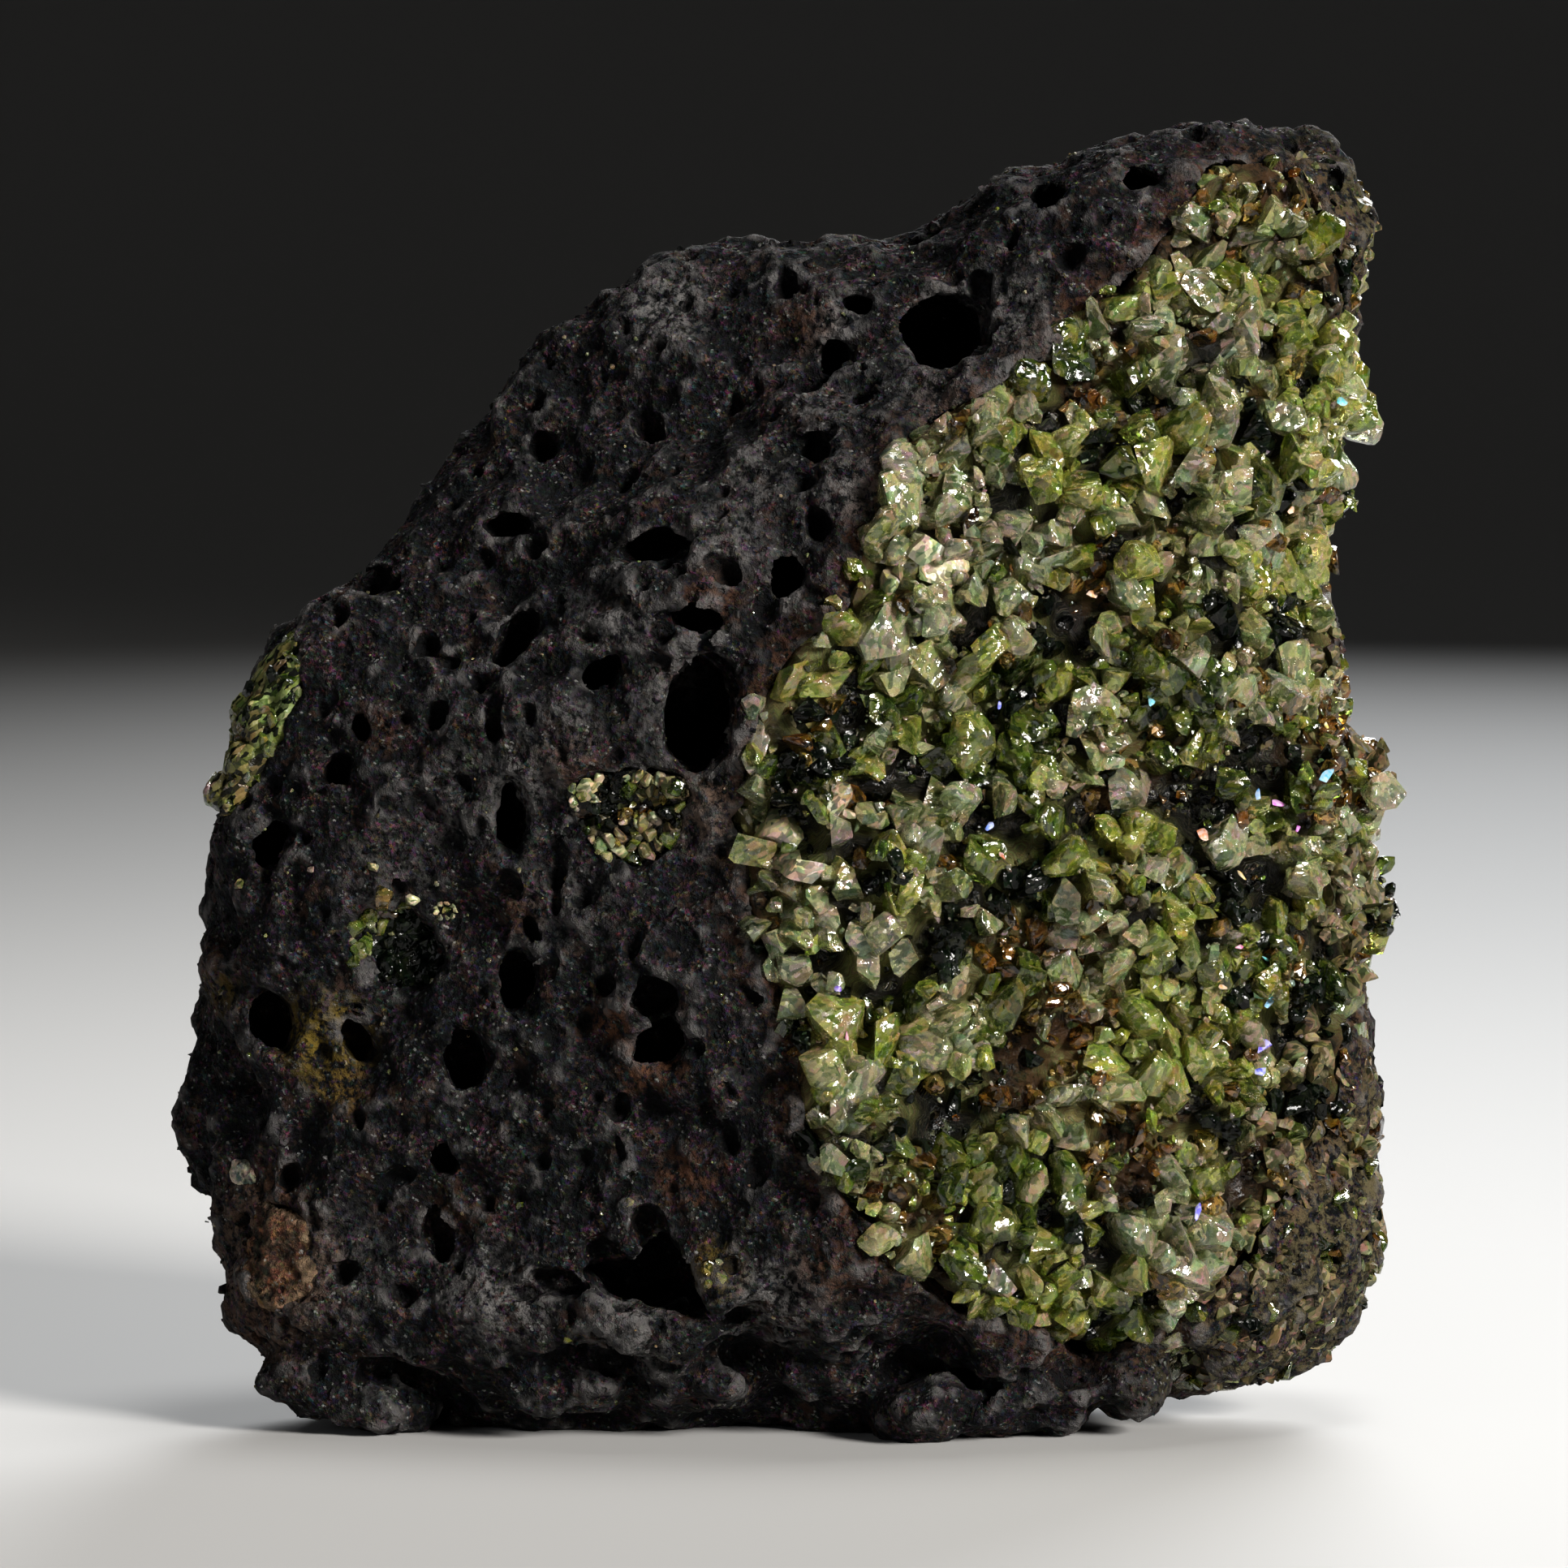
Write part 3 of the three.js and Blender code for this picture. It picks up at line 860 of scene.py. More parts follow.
@dataclass(frozen=True)
class RockFinish(Finish):
    """A dull, rough rock."""

    dark: Colour
    light: Colour
    # The colour of pale dust and painted highlight on what stands out.
    dust: Colour
    stain: Colour
    marks: tuple[tuple[str, Colour], ...] = ()
    stain_share: float = 0.5
    speckle: float = 0.95
    dust_and_highlight_share: float = 0.6
    shadow: Colour = (0.0015, 0.0016, 0.0018)
    specular: float = 0.1
    bump: float = 1.0
    depth: float = 0.3 * MM

    def wire(self, graph: Graph) -> dict[str, object]:
        """Lays marks, pale dust with a painted highlight on what stands out and painted shadow in what lies
        deep over the rock's grain.

        Args:
            graph: the material's tree.

        Returns:
            Sockets or plain values for the shader's inputs.
        """
        place = graph.millimetres()
        values = (place, self.dark, self.light, self.stain, self.stain_share, self.speckle)
        grain = ROCK_GRAIN.place(graph, dict(zip(ROCK_GRAIN.takes, values)))
        colour, height = grain.outputs["Colour"], grain.outputs["Height"]
        patchy = graph.span(graph.noise(place, 0.7, 3.0, 0.75), 0.42, 0.62)
        for name, mark in self.marks:
            colour = graph.mix(graph.times(graph.attribute(name), patchy), colour, mark)
        relief = graph.attribute("relief")
        # Raised ridges take pale dust and a painted highlight, as where light catches them.
        raised = graph.span(relief, 0.55, 0.85)
        cover = graph.span(graph.noise(place, 3.0, 3.0, 0.7), 0.42, 0.62)
        colour = graph.mix(graph.times(graph.times(raised, cover), self.dust_and_highlight_share), colour, self.dust)
        deep = graph.times(graph.span(relief, 0.5, 0.12), 0.85)
        bump = graph.add("Bump", {"Height": height, "Strength": self.bump, "Distance": self.depth})
        return {
            "Base Color": graph.mix(deep, colour, self.shadow),
            "Roughness": graph.span(height, 0.6, 2.2, (0.95, 0.75)),
            "Specular IOR Level": self.specular,
            "Normal": bump.outputs[0],
        }


@dataclass(frozen=True)
class CrystalFinish(Finish):
    """A glassy crystal, clear in places and veiled by fractures in others."""

    deep: Colour
    main: Colour
    pale: Colour
    veil: Colour
    veiled: float = 0.5
    transmission: float = 0.5
    roughness: float = 0.06
    ior: float = 1.67
    bump: float = 0.3
    step: float = 0.1 * MM
    facet: float = 0.24
    tilt: float = 1.0
    specular: float = 0.5
    # How far the painted shade darkens the darkest facets.
    depth: float = 0.35
    tinge: float = 0.36
    edge: Colour | None = None

    def wire(self, graph: Graph) -> dict[str, object]:
        """Colours the body by crystal and by place, then veils and tinges it and darkens it with painted
        shade facet by facet.

        Args:
            graph: the material's tree.

        Returns:
            Sockets or plain values for the shader's inputs.
        """
        place = graph.millimetres()
        tint = graph.attribute("tint")
        values = (place, tint, self.facet, self.tilt)
        outputs = FRACTURES.place(graph, dict(zip(FRACTURES.takes, values))).outputs
        clouded, shade, painted_facet_shade, tinge, height, normal = (outputs[name] for name in FRACTURES.gives)
        drift = graph.times(graph.sum("SUBTRACT", graph.noise(place, 3.5, 2.0), 0.5), 1.1)
        speck = graph.times(graph.sum("SUBTRACT", shade, 0.5), 0.5)
        blotch = graph.sum("ADD", graph.sum("ADD", tint, drift), speck)
        darker = graph.mix(graph.span(blotch, 0.0, 0.45), self.deep, self.main)
        body = graph.mix(graph.span(blotch, 0.5, 1.1), darker, self.pale)
        veil = graph.times(clouded, self.veiled)
        colour = graph.mix(self.tinge, graph.mix(veil, body, self.veil), tinge, "MULTIPLY")
        # Painted shade and light inside the crystal: facets darkened one by one.
        shown = graph.span(painted_facet_shade, 0.0, 0.8, (1.0 - self.depth, 1.0))
        colour = graph.tinted(colour, graph.grey(shown))
        if self.edge:
            ragged = graph.span(graph.noise(place, 0.6, 3.0, 0.7), 0.35, 0.6)
            colour = graph.mix(graph.times(graph.attribute("edge"), ragged), colour, self.edge)
        steps = {"Height": height, "Strength": self.bump, "Distance": self.step, "Normal": normal}
        return {
            "Base Color": colour,
            "Roughness": graph.span(veil, 0.0, 0.8, (self.roughness, self.roughness + 0.3)),
            "IOR": self.ior,
            "Specular IOR Level": self.specular,
            "Transmission Weight": self.transmission,
            "Normal": graph.add("Bump", steps).outputs[0],
        }


@dataclass(frozen=True)
class FlashFinish(Finish):
    """A thin air gap inside a crystal, which flashes in one pure colour, its hue in the tint."""

    name: str = "colour flash"
    roughness: float = 0.5
    metal: float = 0.3
    saturation: float = 0.9
    value: float = 0.4

    def wire(self, graph: Graph) -> dict[str, object]:
        """Takes the hue from the flake's tint.

        Args:
            graph: the material's tree.

        Returns:
            Sockets or plain values for the shader's inputs.
        """
        wear = graph.noise(graph.millimetres(), 0.25, 2.0)
        worn = graph.span(wear, 0.35, 0.6, (self.saturation, self.saturation * 0.5))
        parts = {"Red": graph.attribute("tint"), "Green": worn, "Blue": self.value}
        hue = graph.add("CombineColor", parts, mode="HSV").outputs[0]
        return {"Base Color": hue, "Metallic": self.metal, "Roughness": self.roughness}


@dataclass(frozen=True)
class FloorFinish(Finish):
    """A plain pale floor."""

    name: str = "pale floor"
    colour: Colour = (0.5, 0.495, 0.485)
    drift: Colour = (0.5, 0.5, 0.49)
    roughness: float = 0.75

    def wire(self, graph: Graph) -> dict[str, object]:
        """Lets the colour drift a little.

        Args:
            graph: the material's tree.

        Returns:
            Sockets or plain values for the shader's inputs.
        """
        cloud = graph.times(graph.noise(graph.millimetres(), 30.0, 2.0), 0.06)
        return {"Base Color": graph.mix(cloud, self.colour, self.drift), "Roughness": self.roughness}


BASALT = RockFinish(
    name="vesicular basalt",
    dark=(0.001, 0.001, 0.0011),
    light=(0.035, 0.0327, 0.032),
    dust=(0.11, 0.104, 0.101),
    stain=(0.04, 0.02, 0.013),
    marks=(
        # The first mark is pale dust with a painted highlight.
        ("dust", (0.12, 0.114, 0.11)),
        ("rind", (0.085, 0.07, 0.034)),
        ("rust", (0.07, 0.03, 0.015)),
        ("tan", (0.11, 0.068, 0.045)),
        ("ochre", (0.1, 0.068, 0.01)),
    ),
)
BROWN_MINERAL = RockFinish(
    name="weathered brown mineral",
    dark=(0.025, 0.014, 0.008),
    light=(0.14, 0.082, 0.046),
    dust=(0.26, 0.18, 0.11),
    stain=(0.26, 0.14, 0.03),
    speckle=0.3,
)
PALE_MINERAL = RockFinish(
    name="pale mineral",
    dark=(0.25, 0.23, 0.17),
    light=(0.5, 0.47, 0.38),
    dust=(0.75, 0.72, 0.63),
    stain=(0.5, 0.42, 0.22),
    stain_share=0.2,
    speckle=0.2,
)
NODULE_MATRIX = CrystalFinish(
    name="crushed peridot matrix",
    deep=(0.001, 0.0012, 0.0005),
    main=(0.11, 0.125, 0.038),
    pale=(0.4, 0.41, 0.18),
    veil=(0.5, 0.49, 0.32),
    veiled=0.12,
    transmission=0.0,
    roughness=0.2,
    bump=0.8,
    facet=0.32,
    tilt=1.2,
    specular=0.12,
    depth=0.92,
    edge=(0.07, 0.035, 0.015),
)
CRUMBS = CrystalFinish(
    name="sugary peridot crumbs",
    deep=(0.5, 0.55, 0.25),
    main=(0.8, 0.81, 0.58),
    pale=(0.93, 0.92, 0.8),
    veil=(0.95, 0.94, 0.88),
    transmission=0.86,
    bump=0.1,
    tilt=0.7,
    depth=0.3,
)


class Kind(Enum):
    """The kinds of crystal in the nodule."""

    VEILED = CrystalFinish(
        name="veiled peridot",
        deep=(0.27, 0.3, 0.1),
        main=(0.6, 0.63, 0.25),
        pale=(0.82, 0.84, 0.43),
        veil=(0.93, 0.93, 0.64),
        veiled=0.8,
        transmission=0.76,
    )
    PALE = CrystalFinish(
        name="pale peridot",
        deep=(0.38, 0.42, 0.16),
        main=(0.74, 0.77, 0.4),
        pale=(0.9, 0.91, 0.6),
        veil=(0.96, 0.95, 0.8),
        veiled=0.9,
        transmission=0.8,
    )
    GREEN = CrystalFinish(
        name="yellow-green peridot",
        deep=(0.28, 0.36, 0.025),
        main=(0.66, 0.74, 0.12),
        pale=(0.88, 0.91, 0.33),
        veil=(0.95, 0.95, 0.62),
        veiled=0.7,
        transmission=0.8,
    )
    DEEP = CrystalFinish(
        name="deep green peridot",
        deep=(0.05, 0.1, 0.01),
        main=(0.28, 0.4, 0.045),
        pale=(0.56, 0.66, 0.14),
        veil=(0.82, 0.84, 0.45),
        veiled=0.55,
        transmission=0.86,
        depth=0.5,
    )
    AMBER = CrystalFinish(
        name="rust-stained peridot",
        deep=(0.08, 0.025, 0.003),
        main=(0.5, 0.24, 0.025),
        pale=(0.9, 0.66, 0.18),
        veil=(0.92, 0.74, 0.36),
        veiled=0.3,
        transmission=0.87,
        depth=0.8,
    )
    DARK = CrystalFinish(
        name="black-green pyroxene",
        deep=(0.001, 0.0015, 0.001),
        main=(0.002, 0.0035, 0.002),
        pale=(0.006, 0.01, 0.006),
        veil=(0.03, 0.04, 0.022),
        veiled=0.2,
        transmission=0.0,
        roughness=0.1,
        specular=0.14,
        tilt=1.6,
    )
    CRUST = CrystalFinish(
        name="pale olivine crust",
        deep=(0.12, 0.11, 0.05),
        main=(0.3, 0.28, 0.14),
        pale=(0.48, 0.46, 0.28),
        veil=(0.6, 0.58, 0.42),
        veiled=0.6,
        transmission=0.2,
        roughness=0.3,
        specular=0.3,
    )
    RIND = CrystalFinish(
        name="weathered crystal rind",
        deep=(0.03, 0.024, 0.01),
        main=(0.085, 0.075, 0.028),
        pale=(0.16, 0.142, 0.065),
        veil=(0.24, 0.17, 0.12),
        veiled=0.5,
        transmission=0.0,
        roughness=0.45,
        specular=0.15,
    )


@dataclass(frozen=True)
class Patch:
    """A part of the nodule where one kind of crystal gathers, in pixels of the photograph."""

    column: float
    row: float
    reach: float
    kind: Kind
    share: float = 0.85


@dataclass(frozen=True)
class Mark:
    """A spot on the specimen, in pixels of the photograph."""

    column: float
    row: float
    reach: float
    share: float = 1.0


@dataclass(frozen=True)
class Landmark:
    """One crystal that stands out in the photograph, in pixels of it."""

    column: float
    row: float
    across: float
    kind: Kind
    tint: float = 0.6


def patches(kind: Kind, *spots: tuple[float, ...]) -> tuple[Patch, ...]:
    """Patches of one kind, from their columns, rows, reaches and, where it isn't the usual one, shares."""
    return tuple(Patch(*spot[:3], kind, *spot[3:]) for spot in spots)


def marks(*spots: tuple[float, ...]) -> tuple[Mark, ...]:
    """Marks from their columns, rows, reaches and, where it isn't 1, shares."""
    return tuple(Mark(*spot) for spot in spots)


def crystals(kind: Kind, *spots: tuple[float, float, float, float]) -> tuple[Landmark, ...]:
    """Crystals of one kind, from their columns, rows, widths and tints."""
    return tuple(Landmark(column, row, across, kind, tint) for column, row, across, tint in spots)


PATCHES = (
    *patches(Kind.DARK, (990, 868, 34), (1550, 532, 34), (1310, 770, 40, 0.6)),
    *patches(Kind.DEEP, (1345, 825, 30)),
    *patches(
        Kind.DARK,
        (1510, 760, 34), (1592, 775, 34), (1280, 1082, 38), (1180, 1160, 42), (1340, 985, 40, 0.6),
        (1520, 1100, 36), (1570, 1122, 34, 0.6), (1235, 1330, 44, 0.75), (1620, 1240, 30),
        (1662, 1282, 24), (1532, 1228, 24), (1612, 1375, 34), (1500, 1388, 32), (1388, 1455, 36, 0.6),
        (1480, 995, 44, 0.55), (1550, 930, 40, 0.45),
    ),
    *patches(
        Kind.AMBER,
        (1350, 725, 34, 0.7), (1420, 930, 34, 0.5), (1375, 985, 26, 0.5), (1275, 1190, 74, 0.5),
        (1300, 1300, 84, 0.5), (1400, 1415, 74, 0.5), (1140, 1478, 50, 0.4), (930, 1130, 40, 0.4),
        (1340, 450, 60, 0.35), (1590, 250, 110, 0.25), (1650, 960, 70, 0.4),
    ),
    *patches(
        Kind.RIND,
        (1675, 820, 55, 0.75), (1700, 930, 50, 0.7), (1700, 1160, 90, 0.7), (1680, 250, 90, 0.5),
        (1640, 1430, 100, 0.7), (1560, 1620, 90, 0.6),
    ),
    *patches(Kind.AMBER, (1640, 1470, 110, 0.2)),
    *patches(
        Kind.GREEN,
        (1450, 1310, 95, 0.9), (1400, 1040, 60, 0.7), (1620, 460, 80, 0.6), (1600, 720, 50, 0.9),
        (1250, 1590, 80, 0.7),
    ),
    *patches(Kind.DEEP, (1120, 890, 50, 0.8), (1250, 930, 55, 0.7)),
    *patches(Kind.RIND, (1700, 1330, 110, 0.6), (1610, 1680, 130, 0.75), (1660, 1500, 120, 0.45)),
    *patches(Kind.DEEP, (1650, 1470, 130, 0.6)),
    *patches(Kind.CRUST, (985, 1010, 60, 0.35), (1105, 700, 70, 0.25)),
    *patches(
        Kind.PALE,
        (1170, 560, 80, 0.7), (1180, 700, 110, 0.8), (1010, 1150, 90, 0.7), (1030, 1400, 60, 0.7),
        (1470, 1565, 60, 0.9), (1480, 420, 90, 0.6),
    ),
)
# The flashes of pure colour, in pixels: column, row, width and hue.
GLINTS = (
    (1635, 960, 26, 0.56), (1560, 1235, 28, 0.55), (1566, 1246, 20, 0.58), (1560, 1300, 24, 0.68),
    (1475, 1500, 22, 0.67), (1215, 1015, 14, 0.64), (1480, 1030, 22, 0.04), (1360, 725, 18, 0.05),
    (1342, 735, 14, 0.06), (1450, 1150, 18, 0.97), (1525, 1170, 10, 0.95), (1040, 1270, 12, 0.96),
    (1630, 670, 14, 0.01), (1592, 636, 12, 0.06), (1415, 866, 14, 0.54), (1228, 870, 10, 0.66),
    (1550, 985, 16, 0.6), (1578, 998, 18, 0.85), (1602, 1030, 12, 0.83), (1420, 903, 12, 0.08),
    (1530, 1085, 14, 0.1), (1505, 1222, 12, 0.07), (1655, 500, 18, 0.52), (1030, 1215, 14, 0.7),
    (1555, 1330, 16, 0.66), (1371, 1184, 9, 0.66), (1230, 1052, 10, 0.03), (1560, 1190, 9, 0.5),
    (1640, 905, 10, 0.12), (1490, 560, 10, 0.6),
)
LARGEST_OF = {Kind.AMBER: 0.85 * MM, Kind.DARK: 0.8 * MM, Kind.RIND: 1.0 * MM}
HOLLOWS = marks(
    (1490, 1000, 42), (1452, 985, 30), (1315, 765, 26), (1338, 800, 24), (1552, 1085, 30),
    (1572, 1120, 26), (1150, 1192, 22), (1235, 1310, 24), (1250, 1345, 26), (1600, 800, 24),
    (1505, 782, 22), (1570, 955, 26), (1330, 1000, 24), (1400, 1455, 26), (1300, 1420, 22),
    (1100, 1010, 16), (1180, 1035, 18), (1590, 1290, 22), (1645, 1190, 22), (1480, 1150, 20),
    (1410, 1130, 18), (1450, 620, 18), (1370, 560, 16), (1300, 640, 18), (1530, 650, 20),
    (1150, 650, 16), (1180, 662, 14), (1125, 656, 14), (1560, 430, 18), (1500, 300, 18),
    (1350, 1540, 20), (1160, 1560, 16), (1420, 1600, 20), (1530, 1480, 20), (1080, 1330, 14),
)
LANDMARKS = (
    *crystals(
        Kind.GREEN,
        (1245, 530, 78, 0.55), (1600, 722, 88, 0.7), (1672, 512, 62, 0.75), (1440, 352, 62, 0.3),
    ),
    *crystals(Kind.DEEP, (1120, 895, 84, 0.7), (1250, 935, 76, 0.6)),
    *crystals(Kind.GREEN, (1222, 800, 70, 0.4)),
    *crystals(Kind.PALE, (1180, 868, 58, 0.75)),
    *crystals(
        Kind.GREEN,
        (1030, 1248, 104, 0.65), (1395, 1040, 60, 0.55), (1450, 1320, 70, 0.5), (1300, 1602, 52, 0.45),
    ),
    *crystals(
        Kind.PALE,
        (1220, 1572, 84, 0.5), (1255, 1395, 56, 0.6), (985, 1188, 60, 0.9), (1028, 1420, 66, 0.85),
        (1082, 900, 54, 0.95), (1470, 1572, 84, 0.95),
    ),
    *crystals(
        Kind.DARK,
        (992, 868, 70, 0.3), (1550, 532, 60, 0.3), (1280, 1084, 72, 0.4), (1182, 1160, 74, 0.3),
        (1590, 775, 58, 0.3), (1508, 762, 62, 0.5), (1520, 1102, 60, 0.4), (1620, 1242, 58, 0.3),
        (1610, 1375, 60, 0.3), (1495, 1390, 54, 0.3),
    ),
    *crystals(
        Kind.AMBER,
        (1350, 727, 50, 0.3), (1280, 1150, 52, 0.5), (1235, 1345, 50, 0.4), (1150, 1478, 52, 0.8),
    ),
)
HOLLOW_KINDS = (Kind.DARK, Kind.DEEP, Kind.DARK, Kind.AMBER)
KIND_LEVELS = {Kind.DARK: -0.5, Kind.DEEP: -0.2, Kind.GREEN: 0.08, Kind.PALE: 0.35, Kind.VEILED: 2.0}


@dataclass
class CrystalForms:
    """A few crystal forms, each broken out of a rough ball by flat faces."""

    count: int = 16
    cuts: int = 12
    nearest: float = 0.28
    farthest: float = 0.78
    fineness: int = 1
    merged: float = 18.0

    def model(self, chance: Chance) -> list[Form]:
        """Cuts the forms.

        Args:
            chance: where the random numbers come from.

        Returns:
            The forms, about 1 m from middle to corner.
        """
        return [self.cut_one(chance) for _ in range(self.count)]

    def cut_one(self, chance: Chance) -> Form:
        """Cuts one crystal.

        Args:
            chance: where the random numbers come from.

        Returns:
            Its form.
        """
        bpy.ops.object.select_all(action="DESELECT")
        bpy.ops.mesh.primitive_ico_sphere_add(subdivisions=self.fineness, radius=1.0)
        crystal = bpy.context.object
        with editing(crystal):
            for _ in range(self.cuts):
                facing = Vector(chance.normal(size=3)).normalized()
                bpy.ops.mesh.select_all(action="SELECT")
                bpy.ops.mesh.bisect(
                    plane_co=facing * chance.uniform(self.nearest, self.farthest),
                    plane_no=facing,
                    use_fill=True,
                    clear_outer=True,
                )
            bpy.ops.mesh.select_all(action="SELECT")
            bpy.ops.mesh.dissolve_limited(angle_limit=math.radians(self.merged))
            bpy.ops.mesh.select_all(action="SELECT")
            bpy.ops.mesh.quads_convert_to_tris()
        return Form.from_object(crystal)


@dataclass
class BubbleForms:
    """A few gas bubbles: uneven balls, each roughened at a place of its own so that they differ."""

    count: int = 7
    pitch: float = 3.0
    lumps: Lumps = Lumps(0.7, 0.55)

    def model(self) -> list[Form]:
        """Models the forms.

        Returns:
            The forms, about 1 m in radius.
        """
        forms = []
        for i in range(self.count):
            bpy.ops.object.select_all(action="DESELECT")
            apart = self.pitch * i
            bpy.ops.mesh.primitive_ico_sphere_add(subdivisions=3, radius=1.0, location=(apart, 0, 0))
            ball = bpy.context.object
            bpy.ops.object.transform_apply(location=True)
            roughen(ball, self.lumps)
            set_corners(ball, corners_of(ball) - (apart, 0, 0))
            forms.append(Form.from_object(ball))
        return forms


# The large bubbles of the front, in millimetres: place across, height, width, tallness and lean in degrees.
FRONT_BUBBLES = (
    (-4.7, 41.2, 4.6, 7.4, 12), (-15.3, 35.3, 2.7, 5.0, 0), (-4.3, 46.2, 3.4, 1.9, 8),
    (-6.8, 49.9, 4.4, 2.0, -15), (-14.8, 44.6, 2.0, 4.2, 35), (-10.0, 43.0, 3.6, 1.6, -38),
    (0.2, 48.6, 2.6, 3.6, 10), (1.9, 51.4, 1.7, 1.9, 0), (3.0, 60.5, 1.8, 2.8, 15),
    (8.9, 62.0, 5.2, 5.4, 20), (-13.5, 55.4, 1.9, 1.9, 0), (-15.3, 50.9, 3.0, 1.6, -10),
    (-19.8, 44.6, 1.6, 1.6, 0), (-23.1, 47.9, 2.4, 1.8, -30), (-23.5, 40.0, 1.4, 2.0, 0),
    (-24.7, 37.6, 1.8, 2.2, 20), (-28.6, 33.2, 2.1, 3.8, 25), (1.9, 55.5, 2.2, 2.0, 0),
    (4.5, 63.4, 2.5, 1.2, 8), (14.9, 69.4, 2.6, 1.7, -25), (19.9, 70.3, 2.6, 1.9, 0),
    (15.8, 66.3, 2.1, 1.7, -20), (31.2, 70.5, 1.2, 1.6, 0), (-28.7, 23.2, 2.6, 4.5, -24),
    (-23.8, 22.4, 1.7, 3.0, -24), (-14.9, 25.9, 2.5, 4.0, 4), (-14.0, 28.8, 1.0, 1.9, -22),
    (-17.5, 21.3, 2.6, 3.9, 0), (-6.8, 25.3, 3.0, 3.0, 0), (-9.9, 25.9, 1.6, 1.4, 0),
    (-6.8, 22.7, 4.0, 3.0, -30), (-9.1, 19.1, 1.4, 1.7, 0), (-18.8, 15.8, 1.8, 2.3, 0),
    (-27.7, 14.5, 1.4, 1.9, 25), (-24.6, 9.5, 1.8, 1.5, -30), (-21.2, 8.4, 1.6, 1.5, 0),
    (31.0, 9.5, 1.5, 1.8, 0), (29.6, 7.2, 1.4, 1.2, 0), (-16.1, 40.1, 1.3, 1.8, 0),
    (-29.3, 39.7, 1.8, 1.8, 0), (-25.0, 46.2, 1.3, 1.7, 20), (-12.6, 9.4, 3.6, 1.8, 8),
    (-4.4, 8.4, 2.6, 2.2, -30), (-7.4, 12.4, 2.4, 2.6, 0), (-10.0, 11.0, 2.8, 1.8, 20),
    (-2.7, 7.3, 2.4, 1.3, -10), (-14.6, 8.8, 2.4, 1.1, 5),
)
RUST_MARKS = marks(
    (752, 1256, 26, 1.4), (790, 1312, 30, 1.4), (828, 1322, 20, 1.4), (640, 1130, 26, 0.6),
    (470, 900, 30, 0.6), (330, 1480, 36, 0.6), (300, 1660, 40, 0.5), (850, 1450, 40, 0.8),
    (700, 930, 34, 0.5), (990, 400, 34, 0.9), (420, 1350, 30, 0.8), (1020, 1560, 40, 0.7),
    (560, 1500, 40, 0.4), (250, 1200, 30, 0.4), (880, 730, 36, 0.7),
)
TAN_MARKS = marks(
    (325, 1575, 75, 0.9), (300, 1530, 50, 0.7), (340, 1640, 50, 0.6), (930, 1020, 60, 0.5),
    (868, 1000, 45, 0.6),
)
OCHRE_MARKS = marks(
    (395, 1290, 55), (410, 1345, 32, 0.8), (880, 1560, 34, 0.7), (262, 1240, 30, 0.5),
)
# Pale dust with painted highlights on the ledges and ridges of the front, in pixels.
DUST_AND_HIGHLIGHT_MARKS = marks(
    (815, 372, 56, 1.1), (1020, 400, 36, 0.9), (1045, 600, 35, 0.8), (935, 590, 40, 0.6),
    (760, 760, 45, 0.7), (640, 960, 45, 0.7), (690, 900, 45, 0.6), (960, 1600, 55, 0.9),
    (615, 1600, 60, 0.9), (880, 1010, 40, 0.5), (900, 660, 50, 0.5), (560, 980, 60, 0.4),
    (780, 1640, 60, 0.5), (470, 1090, 60, 0.3), (700, 1120, 60, 0.3), (1150, 470, 45, 0.6),
    (1250, 380, 45, 0.5), (1020, 520, 40, 0.5), (830, 850, 40, 0.6), (420, 1560, 60, 0.3),
)
RIND_MARKS = marks(
    (1700, 1500, 240, 0.9), (1700, 1150, 130, 0.8), (1600, 1680, 170, 0.7), (1690, 300, 150, 0.7),
)
MARKS = {"rust": RUST_MARKS, "tan": TAN_MARKS, "ochre": OCHRE_MARKS, "rind": RIND_MARKS, "dust": DUST_AND_HIGHLIGHT_MARKS}


